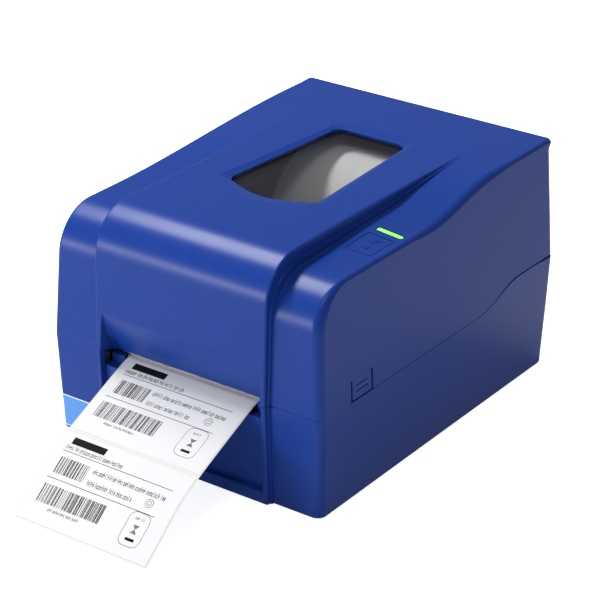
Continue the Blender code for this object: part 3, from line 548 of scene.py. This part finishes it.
def outer_columns(side):
    columns = [scooped(flat_column(side, x, "band")) for x in BAND_COLUMNS]
    columns += scoop_wall_columns(side)
    columns.append(flat_column(side, 62.6, "band"))
    for step in range(7):
        turn = 0.5 * math.pi * step / 6.0
        edges = []
        for radius in (BAND_EDGE, 2.0 * BAND_EDGE):
            x = BAND_HALF - radius * (1.0 - math.sin(turn))
            edges.append(flat_column(side, x, "band", radius * (1.0 - math.cos(turn)), True))
        columns.append(mixed(*edges, edge_swell))
    for x, share in LEDGE:
        shoulder = flat_column(side, x, "shoulder")
        columns.append(mixed(shoulder, flat_column(side, x, "band"), lambda depth, share=share: share))
    columns += [flat_column(side, x, "shoulder") for x in SHOULDER_COLUMNS]
    return room_for_corner(columns) + corner_columns(side, 0.0, 10)


def corner_columns(side, wall, steps):
    """The rounded outer edge: a wide radius up the front and rear corners, a small one along the top."""
    base = casing_profile("shoulder", side * SHOULDER_EDGE, 0.0)
    tight = max(TOP_EDGE - wall, SMALLEST_RADIUS)
    full = max(FRONT_CORNER[side] - wall, SMALLEST_RADIUS)
    rear = REAR_CORNER - wall
    columns = []
    for step in range(steps + 1):
        turn = 0.5 * math.pi * step / steps
        insets = [wall + radius * (1.0 - math.cos(turn)) for radius in (tight, full, rear)]
        low, high, far = (casing_profile("shoulder", side * SHOULDER_EDGE, inset) for inset in insets)
        column = []
        for index, (near, _) in enumerate(base):
            back = rear_share(index, len(base))
            share = max(1.0 - blend(6.5, 34.0, near), top_swell(near) if side > 0 else 0.0)
            first, second, radius = (far[index], back, rear) if back else (high[index], share, full)
            depth, z = (a + (b - a) * second for a, b in zip(low[index], first))
            reach = (tight + (radius - tight) * second) * (1.0 - math.sin(turn)) + wall
            column.append((side * (half_width(z) - reach), depth, z))
        columns.append(column)
    return columns


def top_swell(depth):
    """The right top edge is rounder along the middle of its length."""
    return 0.6 * blend(95.0, 135.0, depth) * (1.0 - blend(195.0, 235.0, depth))


def rear_share(index, count):
    """How far a place in a section has turned from the roof to the rear wall."""
    first = count - REAR_ARC_STEPS - 3
    return min(max((index - first) / REAR_ARC_STEPS, 0.0), 1.0)


def room_for_corner(columns):
    """Draws sections near the side inward at the rear, where the wide corner starts."""
    span = SHOULDER_COLUMNS[-1] - SQUEEZED_FROM
    made = []
    for column in columns:
        moved = []
        for index, (x, depth, z) in enumerate(column):
            limit = half_width(z) - REAR_CORNER - 1.0
            squeezed = SQUEEZED_FROM + (abs(x) - SQUEEZED_FROM) * (limit - SQUEEZED_FROM) / span
            inward = max(abs(x) - squeezed, 0.0) if abs(x) > SQUEEZED_FROM else 0.0
            share = rear_share(index + 3, len(column))
            moved.append((x - math.copysign(inward * share, x), depth, z))
        made.append(moved)
    return made


def scoop_wall_columns(side):
    """The corner, the wall and the chamfer that end the hollow at its side."""
    base = casing_profile("band", 0.0, 0.0)
    levels = (PARTING_FRONT + parting_gap(0.0), *FRONT_LEVELS)
    columns = []
    for kind in ("corner_in", "corner_mid", "corner_out", "crease", "edge"):
        column = []
        for index, (depth, z) in enumerate(base):
            inside = index < len(levels)
            low = kind.startswith("corner") and index == 0
            height = LIP_Z if low else z
            share = scoop_share(height) if inside else 0.0
            deep = scoop_depth(height) if inside else 0.0
            wall_x = 60.1 + 1.4 * share
            edge_x = 60.4 + 2.0 * share
            crease = min(CHAMFER_DEPTH, 0.6 * deep)
            radius = min(1.6, 0.25 * deep)
            x, back = {
                "corner_in": (wall_x - 0.15 - radius, deep),
                "corner_mid": (wall_x - 0.1 - 0.3 * radius, deep - 0.3 * radius),
                "corner_out": (wall_x, deep - radius),
                "crease": (wall_x + 0.1 + (edge_x - wall_x) * (1.0 - crease / CHAMFER_DEPTH) * 0.5, crease),
                "edge": (edge_x + 0.1, 0.0),
            }[kind]
            front = band_front(max(height, PARTING_FRONT)) + back if inside else depth
            column.append((side * x, front, height))
        columns.append(column)
    return columns


def behind_scoop(side, x):
    """An inner section of the band, a wall's thickness behind the hollow."""
    made = scooped(flat_column(side, x, "band", WALL))
    for index in range(len(FRONT_LEVELS) + 1):
        across, depth, z = made[index]
        made[index] = (across, depth + WALL, z)
    return made


def inner_columns(side, count):
    """As many inner sections as there are outer ones, with the wall taken off."""
    columns = [behind_scoop(side, x) for x in (*BAND_COLUMNS, 62.8, 62.9, 63.0)]
    for step in range(8):
        deep = behind_scoop(side, 63.1 + 0.05 * step)
        rim = PARTING_FRONT + parting_gap(0.0)
        columns.append([(deep[0][0], deep[0][1], rim)] + deep[1:])
    corner = corner_columns(side, WALL, 10)
    rest = count - len(columns) - len(corner)
    for step in range(rest):
        columns.append(flat_column(side, 63.9 + (93.0 - 63.9) * step / (rest - 1), "shoulder", WALL))
    return room_for_corner(columns) + corner


def lid_skin(mesh_data, right, left, wall):
    grid = [[mesh_data.verts.new(at(*place)) for place in column] for column in left[:0:-1] + right]
    for near, far in zip(grid, grid[1:]):
        for index in range(len(near) - 1):
            mesh_data.faces.new((near[index], near[index + 1], far[index + 1], far[index]))
    edges = {}
    for side, column in ((-1, grid[0]), (1, grid[-1])):
        edge = []
        for depth in SIDE_STATIONS:
            z = parting(depth) + parting_gap(depth)
            edge.append(mesh_data.verts.new(at(side * (half_width(z) - wall), depth, z)))
        mesh_data.faces.new(column + edge[::-1])
        edges[side] = edge
    front = [column[0] for column in grid]
    rear = [column[-1] for column in grid]
    return front + edges[1] + rear[::-1] + edges[-1][::-1]


def lid_blank():
    outer = [outer_columns(side) for side in (1, -1)]
    inner = [inner_columns(side, len(outer[0])) for side in (1, -1)]
    made = bmesh.new()
    bridge(made, lid_skin(made, *outer, 0.0), lid_skin(made, *inner, WALL))
    return new_piece("lid_shell_fine", made, "blue_plastic", "lid", ("lid_shell",))


# ---------------------------------------------------------------- lid

def tapered_outline(rear, front, wide, narrow, bow, radius, steps=12):
    """An outline narrowing to the rear, bowed forward at the front, with rounded corners."""
    right = arc((narrow - radius, rear - radius), radius, 90, 2, steps)
    right += arc((wide - radius, front + radius), radius, -2, -78, steps)
    inner = right[-1]
    for step in range(1, 12):
        share = step / 12.0
        right.append((inner[0] * (1.0 - share), inner[1] - bow * math.sin(0.5 * math.pi * share)))
    foot = (0.0, inner[1] - bow)
    return right + [foot] + [(-x, depth) for x, depth in right[::-1]]


def window_outline(margin):
    return tapered_outline(212.0 - margin, 94.5 + margin, 34.0 - margin, 28.0 - margin, 8.5, 8.0)


def hinge_parts(name, side, spans, z_range):
    parts = []
    for index, (near, far) in enumerate(spans):
        span = on_side(side, near, far)
        parts.append(rod("%s_eye_%d" % (name, index), HINGE, HINGE_EYE, span))
        root = (span[0] + 0.1, span[1] - 0.1)
        parts.append(block("%s_web_%d" % (name, index), root, (HINGE[0] - 1.6, HINGE[0] + 1.2), z_range))
    return parts


def hinge_bores():
    return [rod("bore", HINGE, HINGE_BORE, span) for span in ((-88.0, -56.0), (56.0, 88.0))]


def on_front_seam(place):
    depth = (place.y - FRONT_Y) / MM
    return abs(place.z / MM - PARTING_FRONT) < 0.4 and depth < 35.0


def make_lid():
    lid = lid_blank()
    opening = window_outline(0.0)
    rim = tapered_outline(220.5, 90.0, 40.0, 31.0, 13.0, 9.0)
    slope = tapered_outline(213.8, 92.0, 38.0, 28.4, 12.2, 8.6)
    collar_range = (WINDOW_TOP + 0.12, BODY_TOP - WALL + 0.3)
    carve(lid, [prism_z("collar", window_outline(-COLLAR_MARGIN), collar_range)], "UNION")
    sunk = ((opening, 150.0), (opening, BODY_TOP - 1.5), (slope, BODY_TOP - 0.85), (rim, BODY_TOP + 0.02),
            (rim, BODY_TOP + 6.0))
    cutters = [loft("recess", [[(x, depth, z) for x, depth in outline] for outline, z in sunk])]
    for name, limits, gap, radius in (("well", BUTTON, 0.35, 1.6), ("slot", LIGHT, 0.3, 2.3)):
        left, right, front, rear = limits
        outline = rounded_rectangle(left - gap, right + gap, front - gap, rear + gap, radius)
        cutters.append(prism_z(name, outline, (140.0, 170.0)))
    for side in (-1, 1):
        front, rear, top = TAB
        cutters.append(block("tab_opening", on_side(side, 94.0, 108.0), (front, rear), (60.0, top + 0.05)))
        cutters.append(block("notch", on_side(side, 58.0, 86.0), (275.0, BEHIND), (70.0, 86.5)))
    carve(lid, cutters)
    eyes = []
    for side in (-1, 1):
        eyes += hinge_parts("lid", side, ((65.8, 78.2),), (81.5, 88.5))
    carve(lid, eyes, "UNION")
    carve(lid, hinge_bores())
    soften(lid, 0.3, 2, 19.0, on_front_seam)
    glass = prism_z("window_glass", window_outline(-GLASS_MARGIN), (WINDOW_TOP - 1.8, WINDOW_TOP),
                    "smoked_window", "lid", ("window",))
    soften(glass, 0.2, 2)


def top_piece(name, outline, bottom, drop, look, body, replaced):
    """A piece let into the shoulder, its top following the shoulder's surface."""
    upper = [(x, depth, shoulder_height(x, depth) - drop) for x, depth in outline]
    lower = [(x, depth, bottom) for x, depth in outline]
    return loft(name, [lower, upper], look, body, replaced=replaced)


def make_controls():
    """The feed button with two raised groups of lines, and the light behind it."""
    left, right, front, rear = BUTTON
    outline = rounded_rectangle(left + 0.15, right - 0.15, front + 0.2, rear - 0.2, 1.2)
    button = top_piece("feed_button_fine", outline, 143.6, 0.1, "blue_plastic", "feed_button",
                       ("feed_button",))
    middle = 0.5 * (left + right)
    marks = []
    for group, (start, count) in enumerate(((85.7, 3), (77.4, 2))):
        for index in range(count):
            depth = start + 2.0 * index
            x = middle - 3.6 + 1.2 * index + 2.5 * group
            top = shoulder_height(x, depth)
            mark = rounded_rectangle(x, x + 5.0 - 1.5 * group, depth, depth + 0.9, 0.4, 3)
            marks.append(prism_z("mark", mark, (top - 0.6, top + 0.05)))
    carve(button, marks, "UNION")
    soften(button, 0.3, 3, 50.0)
    left, right, front, rear = LIGHT
    outline = rounded_rectangle(left, right, front, rear, 2.05, 8)
    light = top_piece("status_light_fine", outline, 146.6, 0.35, "green_light", "lid", ("status_light",))
    soften(light, 0.6, 3, 50.0)


def make_tabs():
    """Latch tabs: a deep slot at each end, two finger grooves across the middle."""
    front, rear, top = TAB
    low = PARTING_FRONT + 0.9
    for side, tag in ((-1, "left"), (1, "right")):
        section = [(side * (half_width(low) - WALL), low), (side * half_width(low), low)]
        section += [(side * half_width(top), top), (side * (half_width(top) - WALL), top - 0.4)]
        rings = [[(x, depth, z) for x, z in section] for depth in (front + 0.05, rear - 0.05)]
        tab = loft("lid_tab_%s_fine" % tag, rings, "blue_plastic", "tab_" + tag,
                   replaced=("lid_tab_" + tag,))
        cutters = []
        for near in (front - 1.0, rear - 1.7):
            span = on_side(side, half_width(low) - 1.8, 108.0)
            cutters.append(block("tab_slot", span, (near, near + 2.7), (low - 1.0, top - 0.4)))
        for z in (75.2, 79.0):
            span = on_side(side, half_width(z) - 0.6, 108.0)
            cutters.append(block("tab_grip", span, (front + 5.5, rear - 5.5), (z, z + 0.6)))
        carve(tab, cutters)
        soften(tab, 0.15, 2)


# ---------------------------------------------------------------- lower housing

def half_outline(z, inner, side):
    """One half of the housing's wall seen from above, front centre to rear centre."""
    wall = WALL if inner else 0.0
    front = shoulder_front(z) + wall
    rear = rear_face(z) - wall
    wide = half_width(z) - wall
    if inner:
        band = band_front(z) + 3.7
        half = [(0.0, band), (30.0, band), (BAND_INNER - 0.5, band)]
        half += [(BAND_INNER - 0.5 + 0.1 * step, band) for step in range(1, 5)]
        half += [(BAND_INNER + 0.1 * step, front) for step in range(4)]
    else:
        band = band_front(z)
        half = [(0.0, band), (30.0, band)]
        half += arc((BAND_HALF - BAND_EDGE, band + BAND_EDGE), BAND_EDGE, -90, 0, 4)
        half += [(x, front + (band - front) * share) for x, share in LEDGE]
    half += [(69.0, front), (84.0, front)]
    radius = max(FRONT_CORNER[side] - wall, SMALLEST_RADIUS)
    half += arc((wide - radius, front + radius), radius, -90, 0, 10)
    half += [(wide, float(depth)) for depth in SIDE_STATIONS]
    radius = max(REAR_CORNER - wall, SMALLEST_RADIUS)
    half += arc((wide - radius, rear - radius), radius, 0, 90, 10)
    return half + [(58.0, rear), (0.0, rear)]


def housing_outline(z, inner):
    return half_outline(z, inner, 1) + [(-x, depth) for x, depth in half_outline(z, inner, -1)[-2:0:-1]]


def housing_ring(z, inner, shrink=0.0):
    """The wall's outline at one height, or along the parting line when z is None."""
    ring = []
    level = PARTING_FRONT if z is None else z
    for x, depth in housing_outline(level, inner):
        height = z
        if z is None:
            drop = REAR_RIM_DROP * blend(262.0, 266.0, depth)
            height = parting(depth) - parting_gap(depth) - drop
        middle = 140.0
        reach = math.hypot(x, depth - middle)
        share = 1.0 - shrink / reach
        ring.append((x * share, middle + (depth - middle) * share, height))
    return ring


REAR_HOLES = {
    "jack_hole": (59.5, 73.5, 15.5, 29.5), "usb_hole": (29.5, 43.5, 15.5, 28.5),
    "switch_hole": (-74.5, -57.5, 15.5, 38.5), "slot_hole": (-55.0, 55.0, 64.5, 74.0),
}


def make_housing():
    rings = [housing_ring(BODY_BOTTOM, False, 0.4), housing_ring(BODY_BOTTOM + 0.5, False)]
    rings += [housing_ring(z, False) for z in (20.0, 44.0)] + [housing_ring(None, False)]
    rings += [housing_ring(None, True), housing_ring(BODY_BOTTOM, True)]
    housing = loft("lower_housing_fine", rings, "blue_plastic", "base", closed_loop=True,
                   replaced=("lower_housing",))
    opening = []
    for z in (8.5, PARTING_FRONT, 90.0):
        face = FRONT_RAKE * (PARTING_FRONT - z) / (PARTING_FRONT - BODY_BOTTOM)
        edge = 62.5 + 0.1 * (z - 8.5) / 60.0
        half = [(edge, face - 8.0), (edge, face), (61.95, face + CHAMFER_DEPTH), (61.95, face + 5.6)]
        opening.append([(x, depth, z) for x, depth in half + [(-x, depth) for x, depth in half[::-1]]])
    cutters = [loft("front_opening", opening)]
    for side in (-1, 1):
        cutters.append(block("rear_notch", on_side(side, 58.0, 86.0), (276.0, BEHIND), (77.3, 92.0)))
    for name, hole in REAR_HOLES.items():
        outline = rounded_rectangle(*hole, 0.8, 3)
        cutters.append(loft(name, [[(x, depth, z) for x, z in outline] for depth in (272.0, BEHIND)]))
    cutters += rear_vents()
    carve(housing, cutters)
    eyes = []
    for side in (-1, 1):
        eyes += hinge_parts("housing", side, ((58.2, 65.4), (78.6, 85.8)), (76.5, 81.0))
    carve(housing, eyes, "UNION")
    carve(housing, hinge_bores())
    soften(housing, 0.3, 2, sharp_at=on_front_seam)


def rear_vents():
    """Cooling slots low in the rear wall."""
    return [block("vent", (x, x + 2.0), (273.0, BEHIND), (40.0, 58.0)) for x in range(-30, 31, 6)]


# ---------------------------------------------------------------- paper

def web_path(steps):
    """The web's underside, from where it leaves the roll to its free end on the table."""
    reach = math.hypot(ROLL[1] - WEB_BOTTOM, ROLL[0] - WEB_TURN)
    leaving = ROLL_RADIUS + 0.8
    steep = math.atan2(ROLL[1] - WEB_BOTTOM, ROLL[0] - WEB_TURN) + math.asin(leaving / reach)
    run = math.sqrt(reach ** 2 - leaving ** 2)
    start = (WEB_TURN + run * math.cos(steep), WEB_BOTTOM + run * math.sin(steep))
    bend = (WEB_TURN + 1.0 + 9.0 * math.cos(steep), WEB_BOTTOM + 9.0 * math.sin(steep))
    inside = smooth_curve([bend, (141.5, WEB_BOTTOM + 2.0), (133.0, WEB_BOTTOM)], steps)
    hang = [(24.0, WEB_BOTTOM), (16.0, 64.1), (8.0, 61.6), (-15.0, 51.7), (-47.0, 37.1)]
    hang += [(-64.0, 27.4), (-82.0, 12.8), (-97.6, 0.3)]
    return [start] + inside + smooth_curve(hang, steps)


class Strip:
    """Lengths along the web, measured back from its free end."""

    def __init__(self):
        self.points = web_path(14)[::-1]
        self.lengths = [0.0]
        for first, second in zip(self.points, self.points[1:]):
            self.lengths.append(self.lengths[-1] + math.dist(first, second))

    def place(self, length, lift):
        index = max(i for i, value in enumerate(self.lengths[:-1]) if value <= length)
        share = (length - self.lengths[index]) / (self.lengths[index + 1] - self.lengths[index])
        first, second = self.points[index], self.points[index + 1]
        run = math.dist(first, second)
        along = ((second[0] - first[0]) / run, (second[1] - first[1]) / run)
        across = (-along[1], along[0])
        return (first[0] + along[0] * run * share + across[0] * lift,
                first[1] + along[1] * run * share + across[1] * lift)

    def patch(self, made, x_range, span, lifts, step=3.0):
        """Adds a thin slab that follows the web to a bmesh."""
        count = max(1, int(math.ceil((span[1] - span[0]) / step)))
        loops = []
        for index in range(count + 1):
            length = span[0] + (span[1] - span[0]) * index / count
            low = self.place(length, lifts[0])
            high = self.place(length, lifts[1])
            corners = ((x_range[0], *low), (x_range[1], *low), (x_range[1], *high), (x_range[0], *high))
            loops.append([made.verts.new(at(*corner)) for corner in corners])
        close_row(made, loops)


LABEL_LENGTH = 62.5
LABEL_PITCH = 65.5
LINER_TOP = 0.15
LABEL_TOP = 0.30
PRINT_BOTTOM = LABEL_TOP - 0.01
PRINT_TOP = 0.325
PRINT_SHIFT = 1.2
PRINT_LINE = 0.3


class LabelPrint:
    """Marks on one label: u runs 0 to 1 from left to right, v from the exit end to the free end."""

    def __init__(self, strip, made, base, rng):
        self.strip = strip
        self.made = made
        self.base = base
        self.rng = rng
        self.half = LABEL_HALF - 1.0

    def across(self, u):
        return PRINT_SHIFT - self.half + 2.0 * self.half * u

    def bar(self, u0, u1, v0, v1, step=3.0):
        x_range = (self.across(u0), self.across(u1))
        span = (self.base + LABEL_LENGTH * (1.0 - v1), self.base + LABEL_LENGTH * (1.0 - v0))
        self.strip.patch(self.made, x_range, span, (PRINT_BOTTOM, PRINT_TOP), step)

    def barcode(self, u0, u1, v0, v1):
        u = u0
        while u < u1 - 0.008:
            width = self.rng.choice((0.0028, 0.0028, 0.0056, 0.0084))
            self.bar(u, u + width, v0, v1, 4.0)
            u += width + self.rng.choice((0.003, 0.003, 0.006, 0.009))

    def pseudo_text(self, u0, u1, v0, v1):
        """Rows of small blocks in word-like groups that spell nothing."""
        u = u0
        height = v1 - v0
        while u < u1:
            for _ in range(self.rng.randint(3, 8)):
                if u > u1:
                    break
                width = self.rng.uniform(0.006, 0.010)
                form = self.rng.randint(0, 3)
                if form == 0:
                    self.bar(u, u + 0.0028, v0, v1)
                    self.bar(u + 0.0028, u + width, v0 + 0.42 * height, v0 + 0.62 * height)
                elif form == 1:
                    self.bar(u, u + width, v0 + 0.3 * height, v0 + 0.5 * height)
                    self.bar(u, u + width, v1 - 0.2 * height, v1)
                    self.bar(u, u + 0.0028, v0 + 0.3 * height, v1)
                elif form == 2:
                    self.bar(u, u + 0.0028, v0 + 0.3 * height, v1)
                    self.bar(u + width - 0.0028, u + width, v0 + 0.3 * height, v1)
                    self.bar(u, u + width, v0 + 0.3 * height, v0 + 0.48 * height)
                else:
                    self.bar(u + 0.3 * width, u + 0.3 * width + 0.003, v0, v1)
                u += width + 0.004
            u += 0.008

    def outline_of(self, points, width):
        """A closed line through (u, v) points, drawn as short thin quads on the label."""
        count = len(points)
        rings = []
        centre = (sum(p[0] for p in points) / count, sum(p[1] for p in points) / count)
        for u, v in points:
            x = self.across(u)
            away = Vector(((u - centre[0]) * 2.0 * self.half, (v - centre[1]) * LABEL_LENGTH)).normalized()
            ring = []
            corners = ((0.0, PRINT_BOTTOM), (width, PRINT_BOTTOM), (width, PRINT_TOP), (0.0, PRINT_TOP))
            for shift, lift in corners:
                length = self.base + LABEL_LENGTH * (1.0 - v) - away.y * shift
                depth, z = self.strip.place(length, lift)
                ring.append(self.made.verts.new(at(x + away.x * shift, depth, z)))
            rings.append(ring)
        for index in range(count):
            bridge(self.made, rings[index], rings[(index + 1) % count])

    def ring(self, u, v, radius):
        wide = 2.0 * self.half
        round_points = circle((0.0, 0.0), radius, 24)
        self.outline_of([(u + x / wide, v + y / LABEL_LENGTH) for x, y in round_points], PRINT_LINE)

    def draw(self):
        self.bar(0.065, 0.325, 0.045, 0.125)
        self.pseudo_text(0.045, 0.50, 0.140, 0.192)
        self.bar(0.04, 0.90, 0.213, 0.219)
        self.barcode(0.065, 0.300, 0.285, 0.465)
        self.pseudo_text(0.330, 0.89, 0.290, 0.345)
        self.pseudo_text(0.330, 0.67, 0.415, 0.470)
        self.bar(0.04, 0.88, 0.520, 0.526)
        self.barcode(0.055, 0.54, 0.590, 0.790)
        self.pseudo_text(0.17, 0.40, 0.815, 0.850)
        self.ring(0.80, 0.415, 2.6)
        self.ring(0.80, 0.415, 1.2)
        box = rounded_rectangle(0.0, 15.0, 0.0, 22.0, 4.5, 5)
        wide = 2.0 * self.half
        self.outline_of([(0.72 + x / wide, 0.53 + y / LABEL_LENGTH) for x, y in box], PRINT_LINE)
        self.pseudo_text(0.765, 0.825, 0.575, 0.605)
        self.bar(0.765, 0.830, 0.800, 0.830)
        for step in range(6):
            share = step / 6.0
            left = 0.797 - 0.022 * (1.0 - share)
            right = 0.797 + 0.022 * (1.0 - share)
            self.bar(left, right, 0.66 + 0.045 * share, 0.66 + 0.045 * (share + 0.12))
            self.bar(left, right, 0.75 - 0.045 * (share + 0.12), 0.75 - 0.045 * share)


def make_paper():
    strip = Strip()
    total = strip.lengths[-1]
    liner = bmesh.new()
    strip.patch(liner, (-LABEL_HALF, LABEL_HALF), (0.0, total - 0.01), (0.0, LINER_TOP), 2.5)
    new_piece("liner_web_fine", liner, "liner_paper", "base", ("liner_web",))
    rng = random.Random(7)
    starts = [1.0 + LABEL_PITCH * index for index in range(4)]
    for index, start in enumerate(starts):
        label = bmesh.new()
        end = min(start + LABEL_LENGTH, total - 8.0)
        strip.patch(label, (-LABEL_HALF + 1.0, LABEL_HALF - 1.0), (start, end), (LINER_TOP, LABEL_TOP), 2.5)
        replaced = (("label_front",), ("label_rear",), (), ())[index]
        new_piece("label_%d" % (index + 1), label, "white_paper", "base", replaced)
    for index, start in enumerate(starts[:2]):
        ink = bmesh.new()
        LabelPrint(strip, ink, start, rng).draw()
        new_piece("label_print_%d" % (index + 1), ink, "ink", "base")
    side = [(LABEL_HALF - 0.3, ROLL_RADIUS), (LABEL_HALF, 51.7), (LABEL_HALF, ROLL_BORE)]
    profile = [(-x, radius) for x, radius in side[::-1]] + side
    turned("label_roll_fine", ROLL, profile, "wound_paper", "media_roll", ("label_roll",), 160)


# ---------------------------------------------------------------- small outside pieces

def make_sticker():
    """A plain blue sheet with a white border, low on the left pillar."""
    left, right, low, high = -101.2, -79.0, 2.0, 25.0
    radius = FRONT_CORNER[-1]
    for name, look, inset, lift in (
            ("sticker_border", "sticker_white", 0.0, 0.05),
            ("sticker_field", "sticker", 0.7, 0.08)):
        made = bmesh.new()
        rings = []
        for step in range(25):
            x = left + inset + (right - left - 2.0 * inset) * step / 24.0
            ring = []
            for z in (low + inset, high - inset):
                curve = max(0.0, abs(x) - (half_width(z) - radius))
                back = radius - math.sqrt(max(radius ** 2 - curve ** 2, 0.0))
                face = shoulder_front(z) + back
                ring.append(((x, face - lift, z), (x, face + 0.02, z)))
            corners = (ring[0][0], ring[1][0], ring[1][1], ring[0][1])
            rings.append([made.verts.new(at(*corner)) for corner in corners])
        close_row(made, rings)
        new_piece(name, made, look, "base")


def make_lip_edge_and_shade():
    """A pale metal tear edge under the lid's lip; it also stands in for the shade on the label's top there,
    so its grey line is partly painted shade.
    """
    outline = [(16.2, 65.25), (17.4, 65.25), (17.4, 66.1), (15.9, 66.1), (15.7, 65.7)]
    # Partly painted shade: this strip draws the grey shade line on the label under the lip, as well as a
    # tear edge.
    edge = prism_x("lip_edge_and_shade", outline, (-60.8, 60.8), "aluminium", "lid")
    soften(edge, 0.08, 2)


NODE_ANGLE = math.radians(30.0)


def refine_node(name, look, width):
    """Gives a CAD node its look, joins its split faces again and rounds its edges."""
    node = frame["nodes"][name]
    node.data.materials.clear()
    node.data.materials.append(LOOKS[look])
    node.data.polygons.foreach_set("use_smooth", [True] * len(node.data.polygons))
    weld = node.modifiers.new("Weld", "WELD")
    weld.merge_threshold = 0.00001
    if width:
        rounding = node.modifiers.new("Edges", "BEVEL")
        rounding.width = width * MM
        rounding.segments = 2
        rounding.limit_method = "ANGLE"
        rounding.angle_limit = NODE_ANGLE
        weighted = node.modifiers.new("Weighted", "WEIGHTED_NORMAL")
        weighted.weight = 80
    else:
        split = node.modifiers.new("Split", "EDGE_SPLIT")
        split.split_angle = NODE_ANGLE


EDGE_WIDTHS = {
    "bottom_plate": 0.5, "front_panel": 0.35, "media_tray": 0.5, "carriage_frame": 0.5,
    "inner_cover_left": 0.4, "inner_cover_right": 0.4, "media_guide_left": 0.3, "media_guide_right": 0.3,
    "stepper_motor": 0.3, "print_head": 0.3, "sensor_slider": 0.3, "power_inlet": 0.4,
    "power_switch": 0.5, "switch_body": 0.3, "usb_port": 0.2, "tear_bar": 0.15, "head_heatsink": 0.15,
    "foot_front_left": 0.5, "foot_front_right": 0.5, "foot_rear_left": 0.5, "foot_rear_right": 0.5,
    "side_plate_left": 0.2, "side_plate_right": 0.2,
}


def refine_nodes():
    """Refines each CAD node that no finer piece stands for."""
    replaced = set()
    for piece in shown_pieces():
        replaced |= set(piece.get("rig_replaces", []))
    for entry in frame["record"]["subparts"]:
        name = entry["node"]
        if name not in replaced:
            refine_node(name, entry["material_slot"], EDGE_WIDTHS.get(name, 0.0))


# ---------------------------------------------------------------- stage, light and camera

def make_stage():
    made = bmesh.new()
    bmesh.ops.create_grid(made, x_segments=1, y_segments=1, size=6.0)
    mesh = bpy.data.meshes.new("floor")
    made.to_mesh(mesh)
    made.free()
    floor = in_scene("floor", mesh)
    look = grained("floor_white", (0.92, 0.92, 0.92), 0.8, mottle=0.0, gleam=0.1)
    shader = shader_of(look)
    shader.inputs["Emission Color"].default_value = (1.0, 1.0, 1.0, 1.0)
    seen = look.node_tree.nodes.new("ShaderNodeLightPath").outputs["Is Camera Ray"]
    glow = look.node_tree.nodes.new("ShaderNodeMapRange")
    glow.inputs["To Min"].default_value = 0.12
    glow.inputs["To Max"].default_value = 0.8
    look.node_tree.links.new(seen, glow.inputs["Value"])
    look.node_tree.links.new(glow.outputs["Result"], shader.inputs["Emission Strength"])
    mesh.materials.append(look)
    floor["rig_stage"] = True
    world = bpy.data.worlds.new("studio")
    bpy.context.scene.world = world
    world.use_nodes = True
    background = world.node_tree.nodes["Background"]
    background.inputs["Color"].default_value = (0.93, 0.96, 1.0, 1.0)
    background.inputs["Strength"].default_value = 0.28


def area_light(name, place, target, size, power):
    data = bpy.data.lights.new(name, "AREA")
    data.shape = "RECTANGLE"
    data.size, data.size_y = size
    data.energy = power
    light = in_scene(name, data)
    light.location = place
    light.rotation_euler = (target - place).to_track_quat("-Z", "Y").to_euler()


def make_lights():
    """Two long softboxes whose reflections run along the nose, and a square one above on the right."""
    distance = 1.7
    middle = Vector((0.0, FRONT_Y + 0.03, 0.14))
    for name, toward, size, power in (
            ("upper_softbox", (-0.516, 0.057, 0.855), (0.85, 0.29), 31.0),
            ("lower_softbox", (-0.516, -0.845, 0.06), (0.85, 0.25), 14.5),
            ("right_softbox", (0.20, -0.42, 0.885), (0.5, 0.5), 5.0)):
        area_light(name, middle + Vector(toward) * distance, middle, size, power)


def make_camera():
    """The viewpoint: 35 degrees round to the right of the front and 25.5 degrees above the table."""
    azimuth, elevation, roll = math.radians(34.8515), math.radians(25.5216), math.radians(0.8338)
    back = Vector((math.sin(azimuth) * math.cos(elevation), -math.cos(azimuth) * math.cos(elevation),
                   math.sin(elevation)))
    right = (-back).cross(Vector((0.0, 0.0, 1.0))).normalized()
    up = right.cross(-back)
    level = right * math.cos(roll) + up * math.sin(roll)
    upright = up * math.cos(roll) - right * math.sin(roll)
    turn = Matrix((level, upright, back)).transposed()
    data = bpy.data.cameras.new("camera")
    data.sensor_width = 36.0
    data.lens = 142.48
    camera = in_scene("camera", data)
    camera.matrix_world = Matrix.Translation((0.80304, FRONT_Y - 1.02322, 0.74466)) @ turn.to_4x4()
    bpy.context.scene.camera = camera


make_camera()
make_stage()
make_lights()
bpy.context.scene.view_settings.view_transform = "Standard"
make_lid()
make_controls()
make_tabs()
make_housing()
make_paper()
make_sticker()
make_lip_edge_and_shade()
refine_nodes()
